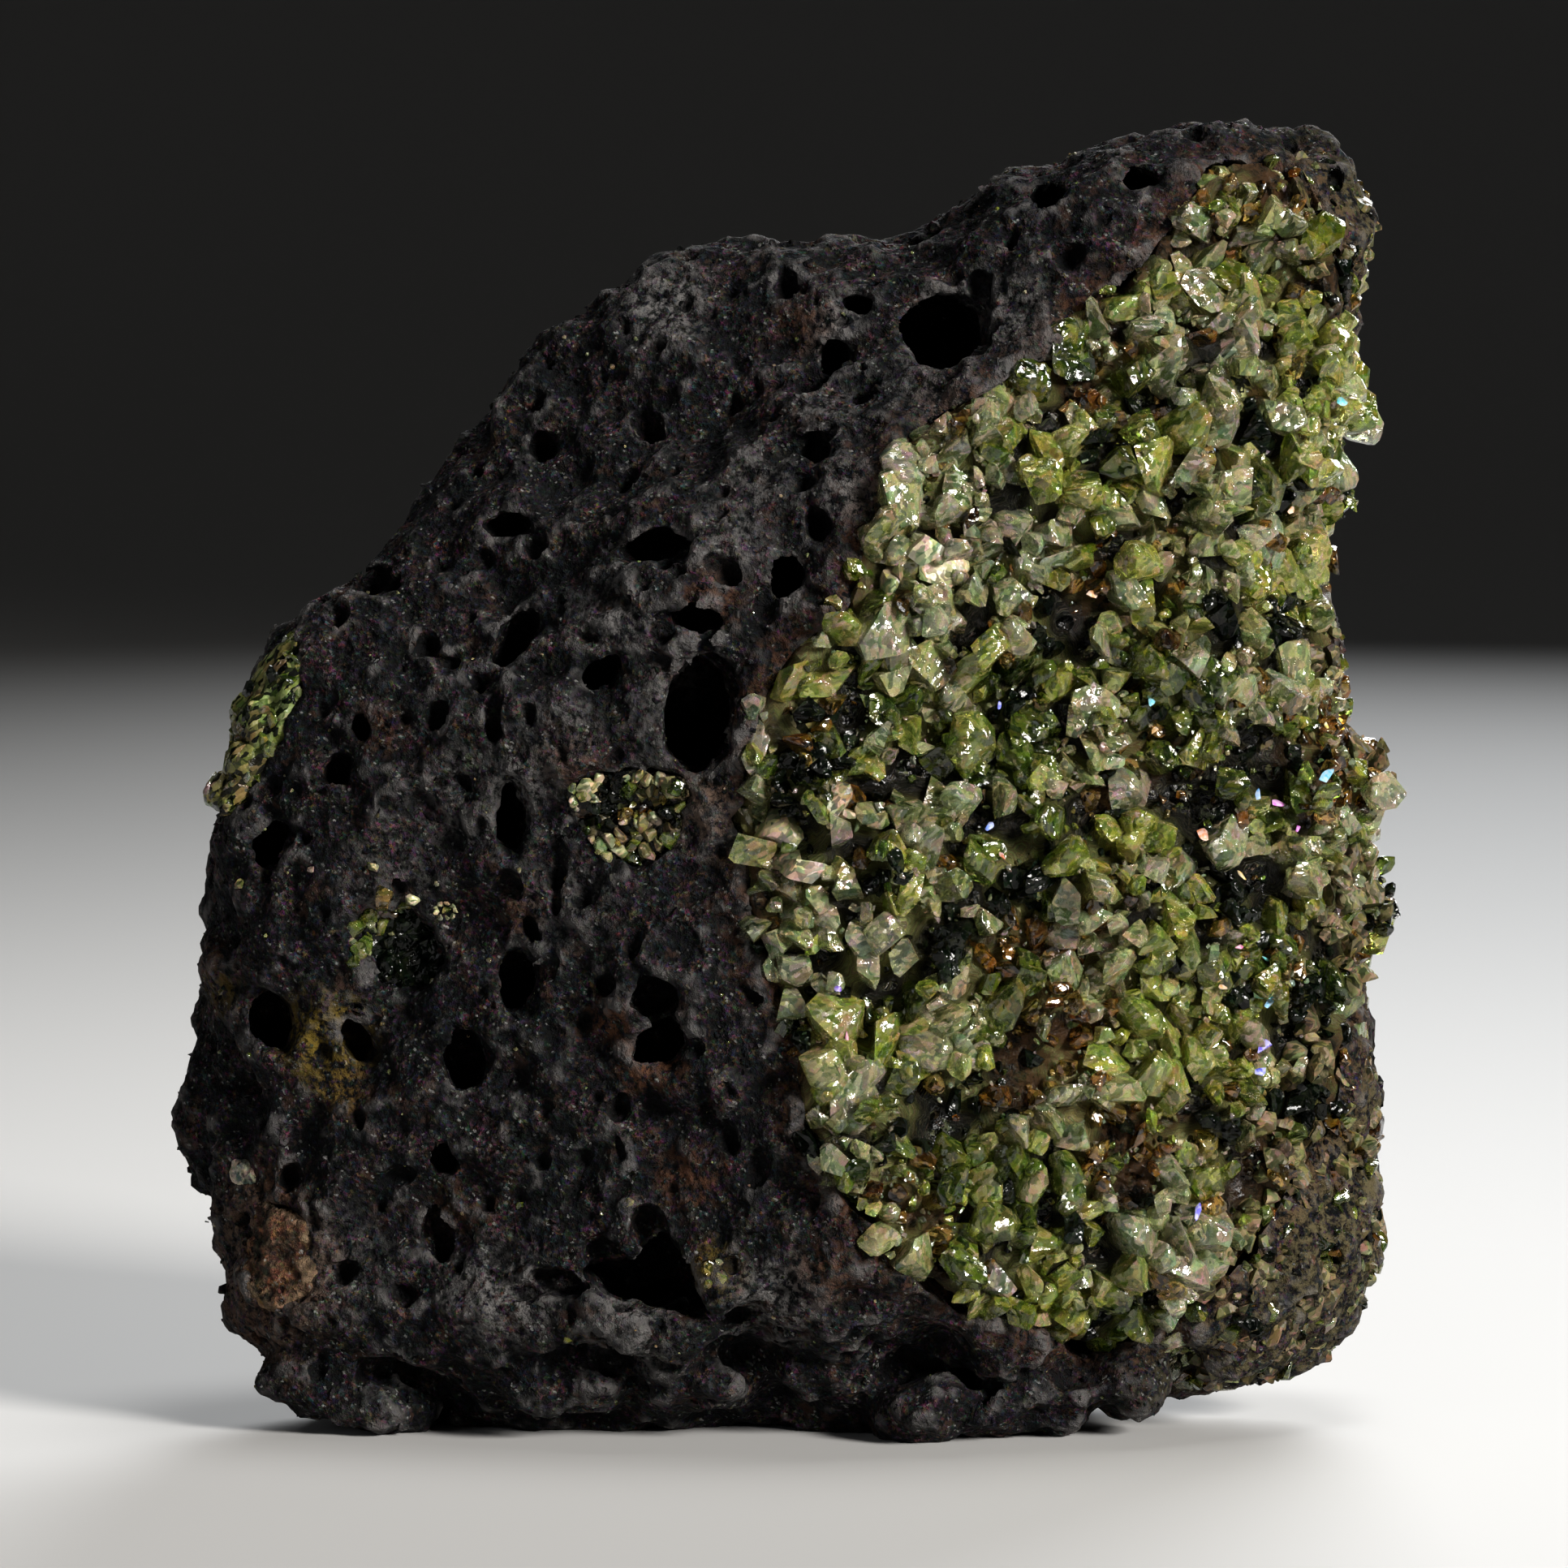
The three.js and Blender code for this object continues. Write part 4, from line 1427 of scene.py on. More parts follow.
@dataclass
class Basalt:
    """The block of basalt, with its gas bubbles cut in."""

    node: str = "basalt_block"
    rough_voxel: float = 0.42 * MM
    voxel: float = 0.235 * MM
    bubble_voxel: float = 0.13 * MM
    lumps: tuple[Lumps, ...] = (
        Lumps(5.5 * MM, 1.3 * MM, finer=3),
        Lumps(3.2 * MM, 1.1 * MM, Chip.EDGED),
        Lumps(1.9 * MM, 0.6 * MM, Chip.EDGED),
    )
    chips: tuple[Lumps, ...] = (
        Lumps(1.1 * MM, 0.45 * MM, finer=4),
        Lumps(0.7 * MM, 0.2 * MM, Chip.EDGED),
    )
    bubble_cell: float = 8 * MM
    bubble_gap: float = 0.85
    bubble_sink: float = 0.12
    bubble_depth: float = 0.75
    small_bubbles: int = 1300
    tries: int = 3
    smallest: float = 0.17 * MM
    usual: float = 0.17 * MM
    largest: float = 1.0 * MM
    room: float = 1.15
    stretch: tuple[float, float] = (1.0, 2.1)
    lean: tuple[float, float] = (10.0, 35.0)
    sunk: tuple[float, float] = (0.0, 0.4)
    clear_of_ground: float = 3 * MM
    clear_of_nodule: float = 1.2 * MM
    triangles: int = 195_000
    socket_gap: float = 0.7 * MM
    socket_share: float = 0.04
    back_from: float = 4 * MM
    back_share: float = 0.1
    relief_rounds: int = 26
    relief_range: float = 0.3 * MM
    contact: float = 2.6 * MM
    contact_rust: float = 0.75
    mark_edge: float = 1.4
    mark_fade: float = 12 * MM
    seed: int = 3

    def body(self) -> Thing:
        """The block before its bubbles are cut.

        Returns:
            The object.
        """
        block = copy_of_node(self.node, "vesicular_basalt")
        remesh(block, self.rough_voxel)
        apply_modifier(block, "SMOOTH", factor=0.6, iterations=3)
        roughen(block, *self.lumps)
        return block

    def front_bubbles(self, tree: BVHTree, copies: Copies, spacing: Spacing) -> None:
        """Places the large bubbles that the photograph shows.

        Args:
            tree: the block's surface.
            copies: the bubbles, to add to.
            spacing: the places that are taken.
        """
        for i, (x, z, wide, high, lean) in enumerate(FRONT_BUBBLES):
            found = front_of(tree, x * MM, z * MM)
            if found is None:
                continue
            across = (wide + high) / 2 * MM
            place = np.array(found[0] - found[1] * self.bubble_sink * across)
            size = (wide / 2 * MM, self.bubble_depth * across, high / 2 * MM)
            copies.add(place, upright_turn(lean), size, i, 0)
            spacing.take(place, across / 2)

    def bubbles(self, block: Thing, nodule: BVHTree) -> Thing:
        """The bubbles as one solid to cut with.

        Args:
            block: the block that they lie in.
            nodule: the nodule's surface, which they stay off.

        Returns:
            The object.
        """
        chance = np.random.default_rng(self.seed)
        copies = Copies(BubbleForms().model())
        skin = Skin(block)
        spacing = Spacing(self.bubble_cell, self.bubble_gap)
        self.front_bubbles(skin.tree(), copies, spacing)
        places, normals = skin.scatter(self.small_bubbles * self.tries, chance)
        sizes = self.smallest + chance.exponential(self.usual, len(places))
        sizes = np.sort(sizes)[::-1].clip(None, self.largest)
        for i, (place, normal, radius) in enumerate(zip(places, normals, sizes)):
            if len(copies.places) >= self.small_bubbles:
                break
            near = nodule.find_nearest(Vector(place), radius + self.clear_of_nodule)[0]
            if place[2] < self.clear_of_ground or near is not None:
                continue
            if not spacing.take(place, radius * self.room):
                continue
            size = (radius, radius, radius * chance.uniform(*self.stretch))
            lean = upright_turn(chance.normal(*self.lean))
            turn = lean @ turn_about((0, 0, 1), chance.uniform(0, math.pi))
            copies.add(place - normal * radius * chance.uniform(*self.sunk), turn, size, i, 0)
        solid = copies.joined("gas bubbles")
        remesh(solid, self.bubble_voxel)
        return solid

    def thin_unseen(self, block: Thing, nodule: BVHTree) -> None:
        """Thins the socket behind the nodule and the plain back before the front.

        Args:
            block: the block.
            nodule: the nodule's surface.
        """
        middles = rows_of(block.data.polygons, "center", 3)
        near = [nodule.find_nearest(Vector(place), self.socket_gap)[0] is not None for place in middles]
        thin(block, np.array(near), self.socket_share)
        middles = rows_of(block.data.polygons, "center", 3)
        thin(block, middles[:, 1] > self.back_from, self.back_share)

    def paint_marks(self, block: Thing, nodule: BVHTree) -> None:
        """Paints where the basalt is rusty, tan, ochre, pale with dust and painted highlight, or weathered
        to an olive rind.

        Args:
            block: the block.
            nodule: the nodule's surface.
        """
        points = corners_of(block)
        column, row = PHOTO.column(points[:, 0]), PHOTO.row(points[:, 2])
        front = (0.5 - points[:, 1] / self.mark_fade).clip(0, 1)
        for name, spots in MARKS.items():
            mask = np.zeros(len(points))
            for mark in spots:
                away = np.hypot(column - mark.column, row - mark.row) / mark.reach
                mask = np.maximum(mask, (self.mark_edge - away).clip(0, 1) * mark.share * front)
            if name == "rust":
                for i, place in enumerate(points):
                    found = nodule.find_nearest(Vector(place), self.contact)
                    if found[0] is not None:
                        mask[i] = max(mask[i], self.contact_rust * (1 - found[3] / self.contact))
            paint(block, name, mask)

    def model(self, nodule: BVHTree) -> Thing:
        """Models the block.

        Args:
            nodule: the nodule's surface.

        Returns:
            The finished object.
        """
        block = self.body()
        cutter = self.bubbles(block, nodule)
        apply_modifier(block, "BOOLEAN", operation="DIFFERENCE", object=cutter, solver="MANIFOLD")
        remove(cutter)
        remesh(block, self.voxel)
        roughen(block, *self.chips)
        paint_relief(block, self.relief_rounds, self.relief_range)
        self.thin_unseen(block, nodule)
        thin_to(block, self.triangles)
        points = corners_of(block)
        points[:, 2] = points[:, 2].clip(0, None)
        set_corners(block, points)
        self.paint_marks(block, nodule)
        return block

    def build(self, nodule: BVHTree) -> Thing:
        """Models and dresses the block.

        Args:
            nodule: the nodule's surface.

        Returns:
            The finished object.
        """
        block = self.model(nodule)
        dress(block, BASALT.material(), self.node)
        return block


@dataclass
class Grit:
    """Angular grains of rock that stand out of the basalt."""

    count: int = 11_000
    tries: int = 2
    smallest: float = 0.09 * MM
    usual: float = 0.09 * MM
    largest: float = 0.5 * MM
    uneven: tuple[float, float] = (0.6, 1.5)
    sunk: tuple[float, float] = (0.2, 0.7)
    back_from: float = 5 * MM
    clear_of_ground: float = 0.5 * MM
    pale_share: float = 0.05
    pale_above: float = 0.4
    pale_relief: float = 0.95
    seed: int = 31

    def build(self, block: Thing) -> Thing:
        """Scatters the grains over the block's front.

        Args:
            block: the finished basalt.

        Returns:
            The grains as one object.
        """
        chance = np.random.default_rng(self.seed)
        forms = CrystalForms(count=10, cuts=4, nearest=0.2, farthest=0.6, merged=55.0).model(chance)
        grains = Copies(forms)
        skin = Skin(block)
        tree = skin.tree()
        triangles = triangles_of(block)
        relief = rows_of(block.data.attributes["relief"].data, "value", 1)[:, 0]
        places, normals = skin.scatter(self.count * self.tries, chance)
        for i, (place, normal) in enumerate(zip(places, normals)):
            if len(grains.places) >= self.count:
                break
            if place[1] > self.back_from or place[2] < self.clear_of_ground:
                continue
            radius = min(self.smallest + chance.exponential(self.usual), self.largest)
            # Each grain takes the relief of the basalt under it, and with it the painted shadow of pits;
            # pale ones are set to stand fully out, taking the dust and painted highlight of ridges.
            stands = relief[triangles[tree.find_nearest(Vector(place))[2]][0]]
            pale = chance.random() < self.pale_share and stands > self.pale_above
            middle = place - normal * radius * chance.uniform(*self.sunk)
            size = radius * chance.uniform(*self.uneven, 3)
            grains.add(middle, random_turn(chance), size, i, self.pale_relief if pale else stands)
        grit = grains.joined("basalt_grit")
        grit.data.attributes["tint"].name = "relief"
        dress(grit, BASALT.material())
        return grit


@dataclass(frozen=True)
class Layer:
    """One size of grain that packs the nodule, from the large crystals down to the crumbs."""

    candidates: int
    smallest: float
    largest: float
    closeness: float
    lowest: float
    highest: float


@dataclass
class Nodule:
    """The nodule: a bed of crushed peridot packed with intergrown crystals."""

    node: str = "peridot_nodule"
    voxel: float = 0.36 * MM
    lumps: Lumps = Lumps(1.3 * MM, 0.7 * MM, Chip.EDGED)
    sunk: float = 0.8 * MM
    grown: float = 0.6 * MM
    rim: float = 1.4 * MM
    bed_triangles: int = 60_000
    bed_contrast: float = 1.4
    bed_tints: tuple[float, float] = (-0.3, 0.7)
    layers: tuple[Layer, ...] = (
        Layer(9_000, 0.95 * MM, 1.75 * MM, 0.46, -0.6, -0.1),
        Layer(15_000, 0.6 * MM, 0.95 * MM, 0.44, -0.75, 0.0),
        Layer(24_000, 0.32 * MM, 0.6 * MM, 0.58, -1.4, -0.1),
    )
    filling: Layer = Layer(6_000, 0.22 * MM, 0.42 * MM, 0.55, -2.9, -1.5)
    crumbs: Layer = Layer(9_000, 0.12 * MM, 0.34 * MM, 0.0, -2.4, -0.9)
    rim_grains: Layer = Layer(26_000, 0.4 * MM, 1.2 * MM, 0.5, -0.5, 0.1)
    rind_grains: Layer = Layer(60_000, 0.32 * MM, 1.1 * MM, 0.5, -0.75, -0.25)
    cell: float = 5.5 * MM
    size_bias: tuple[float, float] = (1.2, 1.8)
    uneven: tuple[float, float] = (0.75, 1.5)
    rounded: float = 50.0
    crumb_level: float = -0.03
    stain_share: float = 0.8
    stain_edge: float = 1.3
    amber_share: float = 0.08
    landmark_closeness: float = 0.6
    landmark_sunk: float = 0.3
    landmark_uneven: tuple[float, float] = (0.95, 1.25)
    landmark_room: float = 1.1
    flash: tuple[float, float, float] = (0.33, -0.85, 0.4)
    flake_height: float = 0.35 * MM
    flake_thickness: float = 0.05 * MM
    flake_shape: tuple[float, float] = (0.75, 0.4)
    rim_reach: float = 0.75 * MM
    rim_patch: float = 3.5 * MM
    rim_level: float = -0.05
    rind_reach: float = 0.9
    rind_back: float = 1 * MM
    rind_level: float = -0.4
    hollow_size: float = 2.4 * MM
    hollow_level: float = 0.24
    hollow_slope: float = 0.6
    region: float = 5 * MM
    region_contrast: float = 1.3
    region_scatter: float = 0.16
    squarely: float = 0.1
    rim_squarely: float = 0.3
    edge_squarely: float = -0.3
    lift: float = 0.1 * MM
    hidden_within: float = 4 * MM
    heart: tuple[float, float, float] = (14 * MM, 6 * MM, 38 * MM)
    heart_pull: tuple[float, float, float] = (0.35, 1.0, 0.15)
    seed: int = 11

    def bed(self, basalt: BVHTree) -> Thing:
        """The crushed matrix between the crystals, sunk except where it meets the basalt.

        Args:
            basalt: the surface of the basalt.

        Returns:
            The object.
        """
        bed = copy_of_node(self.node, "peridot_matrix")
        remesh(bed, self.voxel)
        apply_modifier(bed, "SMOOTH", factor=0.7, iterations=14)
        points = corners_of(bed)
        inside = np.array([self.away_from(basalt, place) for place in points])
        raised = self.grown - inside * (self.grown + self.sunk)
        set_corners(bed, points + normals_of(bed) * raised[:, None])
        roughen(bed, self.lumps)
        thin_to(bed, self.bed_triangles)
        points = corners_of(bed)
        tints = np.array([self.fullness(place) * self.bed_contrast for place in points])
        paint(bed, "tint", tints.clip(*self.bed_tints))
        edges = [max(1 - self.away_from(basalt, place), self.stain_at(place)) for place in points]
        paint(bed, "edge", np.array(edges))
        return bed

    def stain_at(self, place: np.ndarray) -> float:
        """How rusty the matrix is at a place: where rust-stained crystals gather."""
        rusty = [patch for patch in PATCHES if patch.kind is Kind.AMBER]
        away = PHOTO.away(place, rusty)
        near = [self.stain_edge - gap / patch.reach for patch, gap in zip(rusty, away)]
        return min(max(0.0, max(near) * self.stain_share), self.stain_share)

    def fullness(self, place: np.ndarray) -> float:
        """How far a place is from a hollow where grains are missing, below 0 inside one."""
        level = noise.noise(Vector(place) / self.hollow_size) + self.hollow_level
        for mark, away in zip(HOLLOWS, PHOTO.away(place, HOLLOWS)):
            level = min(level, (away / mark.reach - 1) * self.hollow_slope)
        return level

    def away_from(self, basalt: BVHTree, place: np.ndarray) -> float:
        """How far a place is from the basalt, as a share of the rim's width, 1 at most."""
        found = basalt.find_nearest(Vector(place), self.rim)
        return 1.0 if found[0] is None else found[3] / self.rim

    def open_to(self, place: np.ndarray, normal: np.ndarray, basalt: BVHTree, least: float) -> bool:
        """Tells whether a place lies on the specimen's outside.

        Args:
            place: the place.
            normal: the surface's normal there.
            basalt: the surface of the basalt.
            least: how squarely the surface must face outwards.

        Returns:
            True if nothing hides it.
        """
        outwards = Vector((place - self.heart) * self.heart_pull).normalized()
        if outwards.dot(normal) < least:
            return False
        start = Vector(place) + outwards * self.lift
        return basalt.ray_cast(start, outwards, self.hidden_within)[0] is None

    def kind_at(self, place: np.ndarray, chance: Chance) -> Kind:
        """Chooses the kind of crystal for a place.

        Args:
            place: the place on the nodule.
            chance: where the random numbers come from.

        Returns:
            The kind.
        """
        if self.fullness(place) <= 0:
            return HOLLOW_KINDS[chance.integers(len(HOLLOW_KINDS))]
        if chance.random() < self.amber_share:
            return Kind.AMBER
        for patch, away in zip(PATCHES, PHOTO.away(place, PATCHES)):
            if away < patch.reach and chance.random() < patch.share:
                return patch.kind
        drift = noise.noise(Vector(place) / self.region) * self.region_contrast
        drift += chance.normal(0, self.region_scatter)
        for kind, level in KIND_LEVELS.items():
            if drift < level:
                return kind
        return Kind.PALE

    def pack(
        self,
        grown: dict[Kind, Copies],
        layer: Layer,
        spacing: Spacing,
        where: Skin,
        keep: Callable[..., bool],
        chance: Chance,
    ) -> None:
        """Packs one layer of grains over a surface.

        Args:
            grown: the crystals of each kind, to add to.
            layer: the sizes and depths of the grains.
            spacing: the places that are taken.
            where: the surface.
            keep: tells whether a grain of a size may stand at a place with a normal.
            chance: where the random numbers come from.
        """
        spacing.closeness = layer.closeness
        places, normals = where.scatter(layer.candidates, chance)
        range_of_sizes = layer.largest - layer.smallest
        sizes = layer.smallest + range_of_sizes * chance.beta(*self.size_bias, len(places))
        sizes = np.sort(sizes)[::-1]
        for i, (place, normal, radius) in enumerate(zip(places, normals, sizes)):
            if not keep(place, normal):
                continue
            middle = place + normal * radius * chance.uniform(layer.lowest, layer.highest)
            if layer.closeness and not spacing.take(middle, radius):
                continue
            kind = self.kind_at(place, chance)
            size = min(radius, LARGEST_OF.get(kind, radius)) * chance.uniform(*self.uneven, 3)
            grown[kind].add(middle, random_turn(chance), size, i, chance.random())

    def place_landmarks(
        self, grown: dict[Kind, Copies], tree: BVHTree, spacing: Spacing, chance: Chance
    ) -> None:
        """Places the crystals that stand out in the photograph.

        Args:
            grown: the crystals of each kind, to add to.
            tree: the nodule's surface.
            spacing: the places that are taken.
            chance: where the random numbers come from.
        """
        for i, mark in enumerate(LANDMARKS):
            found = front_of(tree, PHOTO.x(mark.column), PHOTO.z(mark.row))
            if found is None:
                LOG.warning("no surface behind the crystal at %d, %d", mark.column, mark.row)
                continue
            radius = mark.across / 2 * PHOTO.pixel
            place = np.array(found[0] - found[1] * radius * self.landmark_sunk)
            size = radius * chance.uniform(*self.landmark_uneven, 3)
            grown[mark.kind].add(place, random_turn(chance), size, i, mark.tint)
            spacing.take(place, radius * self.landmark_room)

    def grow(
        self, basalt: BVHTree, forms: Sequence[Form], crumb_forms: Sequence[Form]
    ) -> tuple[dict[Kind, Copies], Copies]:
        """Places the crystals over the nodule's open face.

        Args:
            basalt: the surface of the basalt, which hides part of the nodule.
            forms: the crystal forms.
            crumb_forms: the forms of the crumbs.

        Returns:
            The crystals of each kind, and the crumbs.
        """
        chance = np.random.default_rng(self.seed)
        grown = {kind: Copies(forms) for kind in Kind}
        skin = Skin(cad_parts[self.node])
        tree = skin.tree()
        spacing = Spacing(self.cell, self.landmark_closeness)
        self.place_landmarks(grown, tree, spacing, chance)

        def on_face(place: np.ndarray, normal: np.ndarray) -> bool:
            """Tells whether a grain may stand on the nodule's open face."""
            least = self.squarely if self.away_from(basalt, place) == 1 else self.edge_squarely
            return self.open_to(place, normal, basalt, least) and self.fullness(place) > 0

        def on_rim(place: np.ndarray, normal: np.ndarray) -> bool:
            """Tells whether a grain may cling to the basalt's edge."""
            bare = noise.noise(Vector(place) / self.rim_patch) < self.rim_level
            if bare or tree.find_nearest(Vector(place), self.rim_reach)[0] is None:
                return False
            return self.open_to(place, normal, basalt, self.rim_squarely)

        def on_rind(place: np.ndarray, normal: np.ndarray) -> bool:
            """Tells whether a grain may stand in the weathered rind beside the nodule."""
            away = PHOTO.away(place, RIND_MARKS)
            near = any(gap < mark.reach * self.rind_reach for mark, gap in zip(RIND_MARKS, away))
            if not near or place[1] > self.rind_back:
                return False
            bare = noise.noise(Vector(place) / self.rim_patch) < self.rind_level
            return not bare and self.open_to(place, normal, basalt, self.squarely)

        def in_hollow(place: np.ndarray, normal: np.ndarray) -> bool:
            """Tells whether a small grain may lie at a place, in a hollow too."""
            return self.open_to(place, normal, basalt, self.squarely)

        def on_bed(place: np.ndarray, normal: np.ndarray) -> bool:
            """Tells whether crumbs may lie at a place."""
            return in_hollow(place, normal) and self.fullness(place) > self.crumb_level

        block = Skin(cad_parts["basalt_block"])
        crumbs = Copies(crumb_forms)
        for layer in self.layers:
            self.pack(grown, layer, spacing, skin, on_face, chance)
        self.pack(grown, self.rim_grains, spacing, block, on_rim, chance)
        self.pack(grown, self.rind_grains, spacing, block, on_rind, chance)
        self.pack(grown, self.filling, spacing, skin, in_hollow, chance)
        self.pack({kind: crumbs for kind in Kind}, self.crumbs, spacing, skin, on_bed, chance)
        return grown, crumbs

    def glints(self, forms: Sequence[Form]) -> Copies:
        """Places the thin flakes inside crystals that flash in pure colours.

        Args:
            forms: the forms of the flakes before they are flattened.

        Returns:
            The flakes, each with its hue as its tint.
        """
        chance = np.random.default_rng(self.seed + 1)
        tree = Skin(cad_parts[self.node]).tree()
        flakes = Copies(forms)
        facing = Vector(self.flash).normalized().to_track_quat("Y", "Z")
        for i, (column, row, across, hue) in enumerate(GLINTS):
            found = front_of(tree, PHOTO.x(column), PHOTO.z(row))
            if found is None:
                continue
            lean = Quaternion((0, 1, 0), chance.uniform(0, math.pi))
            long, wide = (across * PHOTO.pixel * share for share in self.flake_shape)
            size = (long, self.flake_thickness, wide)
            place = found[0] + Vector(self.flash).normalized() * self.flake_height
            flakes.add(place, np.array((facing @ lean).to_matrix()), size, i, hue)
        return flakes

    def build(self, basalt: BVHTree) -> list[Thing]:
        """Models and dresses the nodule.

        Args:
            basalt: the surface of the basalt.

        Returns:
            Its pieces.
        """
        bed = self.bed(basalt)
        dress(bed, NODULE_MATRIX.material(), self.node)
        pieces = [bed]
        chance = np.random.default_rng(self.seed)
        forms = CrystalForms().model(chance)
        crumb_forms = CrystalForms(count=8, cuts=7, nearest=0.12, farthest=0.42, merged=30.0).model(chance)
        grown, crumbs = self.grow(basalt, forms, crumb_forms)
        for kind, copies in grown.items():
            grains = copies.joined(f"peridot_grains_{kind.name.lower()}", self.rounded)
            dress(grains, kind.value.material())
            LOG.info("%s: %d crystals", grains.name, len(copies.places))
            pieces.append(grains)
        fine = {"peridot_crumbs": (crumbs, CRUMBS), "fracture_flashes": (self.glints(forms), FlashFinish())}
        for name, (copies, finish) in fine.items():
            pieces.append(copies.joined(name, self.rounded))
            dress(pieces[-1], finish.material())
        return pieces


@dataclass
class Inclusion:
    """A smaller mineral in the basalt, reshaped from its CAD node."""

    node: str
    name: str
    slot: str
    finish: RockFinish | CrystalFinish
    voxel: float = 0.16 * MM
    lump: float = 1.2 * MM
    height: float = 0.35 * MM
    chips: float = 0.6
    grown: float = 0.4 * MM
    sunk: float = 0.5 * MM
    relief_rounds: int = 10
    relief_range: float = 0.25 * MM
    tint: float = 0.4

    def build(self) -> Thing:
        """Models and dresses the inclusion.

        Returns:
            The finished object.
        """
        thing = copy_of_node(self.node, self.name)
        remesh(thing, self.voxel)
        apply_modifier(thing, "SMOOTH", factor=0.5, iterations=4)
        apply_modifier(thing, "DISPLACE", strength=self.grown, mid_level=0.0)
        chips = Lumps(self.lump * self.chips, self.height * self.chips, Chip.EDGED)
        roughen(thing, Lumps(self.lump, self.height, finer=3), chips)
        set_corners(thing, corners_of(thing) + (0, self.sunk, 0))
        work_on(thing)
        bpy.ops.object.shade_smooth()
        paint_relief(thing, self.relief_rounds, self.relief_range)
        paint(thing, "tint", np.full(len(thing.data.vertices), self.tint))
        paint(thing, "edge", np.zeros(len(thing.data.vertices)))
        dress(thing, self.finish.material(), self.node)
        return thing


@dataclass(frozen=True)
class Spot:
    """A part of a small cluster, in pixels of the photograph, with its mix of kinds."""

    column: float
    row: float
    reach: float
    kinds: tuple[Kind, ...]


@dataclass(frozen=True)
class Cluster:
    """A knot of grains in the basalt: spots with their own mixes, and a mix round its rim."""

    node: str
    spots: tuple[Spot, ...]
    rim: tuple[Kind, ...]
    candidates: int = 1200
    smallest: float = 0.22 * MM
    largest: float = 0.6 * MM
    sunk: float = 0.4 * MM
    blur: float = 0.15

    def kinds_at(self, place: np.ndarray, chance: Chance) -> tuple[Kind, ...]:
        """The mix of kinds at a place.

        Args:
            place: the place.
            chance: where the random numbers come from.

        Returns:
            The kinds, each as often as it occurs.
        """
        for spot, away in zip(self.spots, PHOTO.away(place, self.spots)):
            if away < spot.reach * chance.normal(1, self.blur):
                return spot.kinds
        return self.rim


@dataclass
class SmallGrains:
    """The grains of the small clusters, and the loose ones that speckle the basalt."""

    clusters: tuple[Cluster, ...]
    lone: tuple[Landmark, ...]
    cell: float = 2 * MM
    closeness: float = 0.55
    uneven: tuple[float, float] = (0.8, 1.5)
    sunk: tuple[float, float] = (0.0, 0.6)
    facing: float = 0.25
    lone_sunk: float = 0.1
    specks: int = 700
    speck_sizes: tuple[float, float] = (0.06 * MM, 0.2 * MM)
    speck_kinds: tuple[Kind, ...] = (Kind.VEILED, Kind.VEILED, Kind.RIND, Kind.DEEP)
    clear_of_ground: float = 2 * MM
    rounded: float = 50.0
    seed: int = 23

    def fill(self, cluster: Cluster, grown: dict[Kind, Copies], chance: Chance) -> None:
        """Grows one cluster over its CAD node's face.

        Args:
            cluster: the cluster.
            grown: the grains of each kind, to add to.
            chance: where the random numbers come from.
        """
        skin = Skin(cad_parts[cluster.node])
        spacing = Spacing(self.cell, self.closeness)
        places, normals = skin.scatter(cluster.candidates, chance)
        sizes = np.sort(chance.uniform(cluster.smallest, cluster.largest, len(places)))[::-1]
        for i, (place, normal, radius) in enumerate(zip(places, normals, sizes)):
            if normal[1] > self.facing or not spacing.take(place, radius):
                continue
            kinds = cluster.kinds_at(place, chance)
            kind = kinds[chance.integers(len(kinds))]
            size = radius * chance.uniform(*self.uneven, 3)
            middle = place - normal * radius * chance.uniform(*self.sunk) + (0, cluster.sunk, 0)
            grown[kind].add(middle, random_turn(chance), size, i, chance.random())

    def build(self, block: Thing) -> list[Thing]:
        """Models and dresses the grains.

        Args:
            block: the finished basalt.

        Returns:
            One object for each kind of grain.
        """
        chance = np.random.default_rng(self.seed)
        forms = CrystalForms(count=8, cuts=9, nearest=0.3, farthest=0.75, merged=26.0).model(chance)
        grown = {kind: Copies(forms) for kind in Kind}
        for cluster in self.clusters:
            self.fill(cluster, grown, chance)
        skin = Skin(block)
        tree = skin.tree()
        for i, mark in enumerate(self.lone):
            found = front_of(tree, PHOTO.x(mark.column), PHOTO.z(mark.row))
            if found is not None:
                radius = mark.across / 2 * PHOTO.pixel
                middle = found[0] - found[1] * radius * self.lone_sunk
                grown[mark.kind].add(middle, random_turn(chance), [radius] * 3, i, mark.tint)
        places, _ = skin.scatter(self.specks, chance)
        for i, place in enumerate(places):
            radius = chance.uniform(*self.speck_sizes)
            kind = self.speck_kinds[i % len(self.speck_kinds)]
            if place[2] > self.clear_of_ground:
                grown[kind].add(place, random_turn(chance), [radius] * 3, i, chance.random())
        pieces = []
        for kind, copies in grown.items():
            if copies.places:
                grains = copies.joined(f"small_grains_{kind.name.lower()}", self.rounded)
                dress(grains, kind.value.material())
                pieces.append(grains)
        return pieces


@dataclass(frozen=True)
class Lamp:
    """A soft square light: its place, side, power in watts, colour and how widely it shines, in degrees."""

    name: str
    place: tuple[float, float, float]
    side: float
    power: float
    colour: Colour
    spread: float


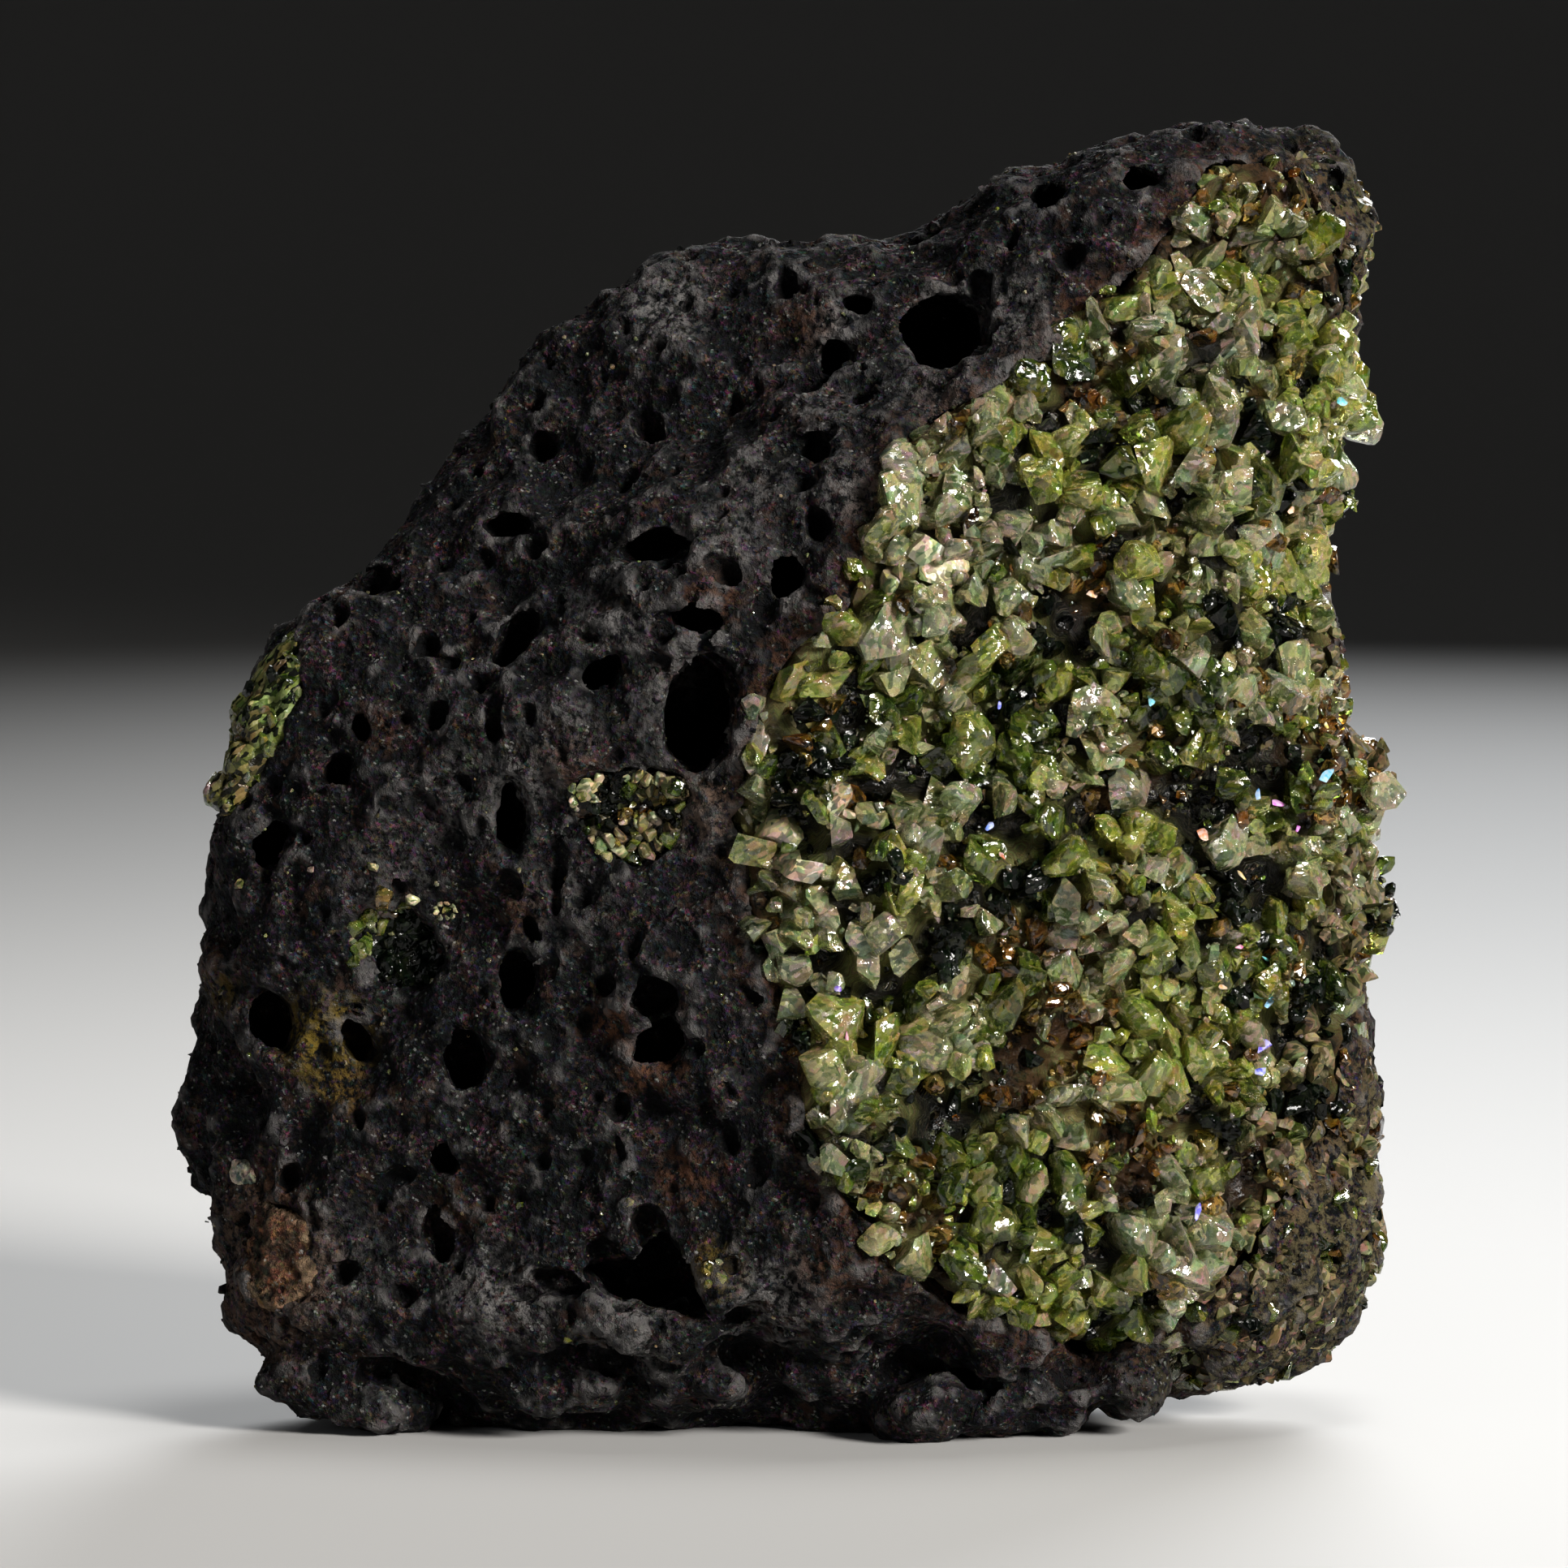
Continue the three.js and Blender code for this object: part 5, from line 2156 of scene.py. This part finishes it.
@dataclass
class Studio:
    """The pale floor, soft lights and camera."""

    reach: float = 2.6
    wall: float = 2.2
    bend: float = 1.2
    bend_steps: int = 12
    turns: int = 48
    distance: float = 0.45
    elevation: float = 4.0
    sensor: float = 36.0
    nearest: float = 0.01
    farthest: float = 50.0
    face: float = -14 * MM
    heart: tuple[float, float, float] = (0.0, 0.0, 35 * MM)
    air: Colour = (0.8, 0.8, 0.79)
    air_strength: float = 0.04
    lamps: tuple[Lamp, ...] = (
        Lamp("key light", (0.7, -0.62, 0.42), 0.3, 1.15, (1.0, 0.97, 0.93), 40.0),
        Lamp("fill light", (-0.8, -0.6, 0.3), 0.5, 0.09, (0.93, 0.96, 1.0), 60.0),
        Lamp("top light", (0.15, 0.1, 0.95), 0.35, 0.24, (1.0, 1.0, 1.0), 40.0),
        Lamp("back light", (0.25, 0.85, 0.4), 0.5, 1.3, (0.96, 0.98, 1.0), 60.0),
    )

    def floor(self) -> Thing:
        """A round floor that sweeps up to a low wall far from the specimen.

        Returns:
            The floor.
        """
        bpy.ops.object.select_all(action="DESELECT")
        bpy.ops.mesh.primitive_plane_add(size=2 * self.reach)
        floor = bpy.context.object
        floor.name = "floor"
        with editing(floor):
            bpy.ops.mesh.delete(type="ONLY_FACE")
            bpy.ops.mesh.select_all(action="SELECT")
            bpy.ops.mesh.delete(type="EDGE")
        work_on(floor)
        outline = [(0, 0, 0), (self.reach, 0, 0), (self.reach, 0, self.wall)]
        floor.data.from_pydata(outline, [(0, 1), (1, 2)], [])
        apply_modifier(floor, "BEVEL", affect="VERTICES", width=self.bend, segments=self.bend_steps)
        with editing(floor):
            bpy.ops.mesh.select_mode(type="VERT")
            bpy.ops.mesh.select_all(action="SELECT")
            bpy.ops.mesh.spin(steps=self.turns, angle=math.tau, center=(0, 0, 0), axis=(0, 0, 1))
            bpy.ops.mesh.select_all(action="SELECT")
            bpy.ops.mesh.remove_doubles(threshold=100 * SAME_PLACE)
            bpy.ops.mesh.normals_make_consistent(inside=True)
        bpy.ops.object.shade_smooth()
        floor.data.materials.append(FloorFinish().material())
        return floor

    def aim(self, thing: Thing, place: Vector, way: Vector) -> None:
        """Puts a light or the camera at a place, facing a way, and adds it to the scene."""
        thing.location = place
        thing.rotation_mode = "QUATERNION"
        thing.rotation_quaternion = way.to_track_quat("-Z", "Y")
        bpy.context.scene.collection.objects.link(thing)

    def light(self) -> None:
        """Hangs the lights and sets the surroundings."""
        for lamp in self.lamps:
            light = bpy.data.lights.new(lamp.name, "AREA")
            light.spread = math.radians(lamp.spread)
            light.size = lamp.side
            light.energy = lamp.power
            light.color = lamp.colour
            place = Vector(lamp.place)
            self.aim(bpy.data.objects.new(lamp.name, light), place, Vector(self.heart) - place)
        world = bpy.data.worlds.new("studio air")
        bpy.context.scene.world = world
        world.use_nodes = True
        background = world.node_tree.nodes["Background"]
        background.inputs["Color"].default_value = (*self.air, 1.0)
        background.inputs["Strength"].default_value = self.air_strength

    def camera(self) -> None:
        """Sets the camera at the photograph's angle."""
        data = bpy.data.cameras.new("camera")
        data.sensor_width = self.sensor
        data.lens = self.sensor * self.distance / (PHOTO.size * PHOTO.pixel)
        data.clip_start = self.nearest
        data.clip_end = self.farthest
        camera = bpy.data.objects.new("camera", data)
        middle = PHOTO.size / 2
        seen = Vector((PHOTO.x(middle), self.face, PHOTO.z(middle)))
        angle = math.radians(self.elevation)
        back = Vector((0, -math.cos(angle), math.sin(angle)))
        self.aim(camera, seen + back * self.distance, -back)
        bpy.context.scene.camera = camera

    def build(self) -> None:
        """Builds all of it."""
        self.floor()
        self.light()
        self.camera()
        bpy.context.scene.view_settings.view_transform = "Standard"


INCLUSIONS = (
    Inclusion("side_peridot_cluster", "side_peridot", "peridot", NODULE_MATRIX, sunk=0.1 * MM),
    Inclusion("small_peridot_cluster", "small_peridot", "peridot", NODULE_MATRIX, sunk=0.9 * MM, tint=-0.1),
    Inclusion("pocket_peridot_cluster", "pocket_peridot", "dark_peridot", Kind.DARK.value, sunk=1.6 * MM),
    Inclusion(
        "tan_inclusion",
        "brown_mineral_grain",
        "brown_mineral",
        BROWN_MINERAL,
        lump=1.6 * MM,
        height=0.8 * MM,
        sunk=0.7 * MM,
    ),
    Inclusion(
        "pale_grain",
        "pale_mineral_grain",
        "pale_mineral",
        PALE_MINERAL,
        voxel=0.12 * MM,
        lump=0.8 * MM,
        height=0.25 * MM,
    ),
)
DARK_HEART = (Kind.DARK, Kind.DARK, Kind.DEEP, Kind.DARK)
OLIVE_MIX = (Kind.CRUST, Kind.RIND, Kind.DEEP, Kind.AMBER, Kind.GREEN, Kind.RIND, Kind.DARK)
GREEN_MIX = (Kind.GREEN, Kind.GREEN, Kind.DEEP, Kind.PALE)
CLUSTERS = (
    Cluster(
        "side_peridot_cluster",
        (Spot(385, 800, 60, GREEN_MIX), Spot(300, 960, 70, GREEN_MIX), Spot(350, 880, 30, GREEN_MIX)),
        (Kind.DARK, Kind.DEEP, Kind.RIND),
        candidates=2600,
        largest=0.8 * MM,
        sunk=0.1 * MM,
    ),
    Cluster(
        "small_peridot_cluster",
        (
            Spot(735, 1008, 24, DARK_HEART),
            Spot(762, 974, 20, DARK_HEART),
            Spot(835, 1032, 17, DARK_HEART),
            Spot(790, 1010, 48, OLIVE_MIX),
            Spot(825, 985, 30, OLIVE_MIX),
        ),
        (Kind.CRUST, Kind.CRUST, Kind.CRUST, Kind.VEILED),
        sunk=0.35 * MM,
    ),
    Cluster(
        "pocket_peridot_cluster",
        (
            Spot(458, 1138, 36, (Kind.GREEN, Kind.AMBER, Kind.DEEP, Kind.PALE)),
            Spot(440, 1165, 20, (Kind.GREEN, Kind.DEEP, Kind.DARK)),
        ),
        (Kind.DARK,),
        sunk=1.3 * MM,
    ),
)
# Small pale grains round a pale one, at a place 12 pixels wide and 10 high to each side.
RING = tuple(
    Landmark(546 + 12 * math.cos(turn), 1127 + 10 * math.sin(turn), 11, Kind.CRUST, 0.9)
    for turn in np.linspace(0, math.tau, 9, endpoint=False)
)
LONE_GRAINS = (
    Landmark(448, 1128, 46, Kind.GREEN, 0.4), Landmark(472, 1110, 40, Kind.AMBER, 0.9),
    Landmark(490, 1122, 34, Kind.GREEN, 0.6), Landmark(436, 1152, 42, Kind.DEEP, 0.5),
    Landmark(470, 1138, 44, Kind.AMBER, 0.8), Landmark(494, 1150, 38, Kind.GREEN, 0.8),
    Landmark(440, 1174, 40, Kind.DEEP, 0.7), Landmark(500, 1135, 24, Kind.CRUST, 0.8),
    Landmark(546, 1127, 20, Kind.GREEN, 0.6), Landmark(432, 1190, 26, Kind.DEEP, 0.6),
    Landmark(505, 1112, 22, Kind.CRUST, 0.8), Landmark(478, 1168, 26, Kind.DEEP, 0.6),
    Landmark(430, 1166, 14, Kind.VEILED, 0.9), Landmark(466, 1180, 26, Kind.VEILED, 0.5),
    Landmark(528, 1217, 16, Kind.VEILED, 1.0), Landmark(874, 1556, 26, Kind.AMBER, 0.9),
    Landmark(890, 1568, 22, Kind.GREEN, 0.6), Landmark(862, 1546, 18, Kind.AMBER, 0.7),
    Landmark(886, 1550, 14, Kind.VEILED, 0.9), Landmark(872, 1574, 16, Kind.DEEP, 0.6),
    Landmark(536, 1092, 9, Kind.VEILED, 1.0), Landmark(288, 1100, 20, Kind.RIND, 0.9),
    Landmark(380, 1076, 14, Kind.CRUST, 0.8), Landmark(455, 1072, 22, Kind.CRUST, 0.6),
    Landmark(420, 1320, 12, Kind.GREEN, 0.8), Landmark(640, 1490, 16, Kind.DEEP, 0.5),
    Landmark(775, 1478, 16, Kind.VEILED, 0.4), Landmark(262, 1238, 14, Kind.AMBER, 0.9),
    Landmark(700, 1650, 14, Kind.DEEP, 0.6), Landmark(315, 1555, 10, Kind.AMBER, 0.9), *RING,
)


def main() -> None:
    """Builds the specimen piece by piece, then the studio."""
    logging.basicConfig(level=logging.INFO, format="%(name)s: %(message)s")
    Studio().build()
    nodule_tree = Skin(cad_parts["peridot_nodule"]).tree()
    basalt_tree = Skin(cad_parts["basalt_block"]).tree()
    block = Basalt().build(nodule_tree)
    pieces = [block, Grit().build(block), *Nodule().build(basalt_tree)]
    pieces += [inclusion.build() for inclusion in INCLUSIONS]
    pieces += SmallGrains(CLUSTERS, LONE_GRAINS).build(block)
    for piece in pieces:
        LOG.info("%s: %d triangles", piece.name, len(triangles_of(piece)))
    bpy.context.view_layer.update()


if __name__ == "__main__":
    main()
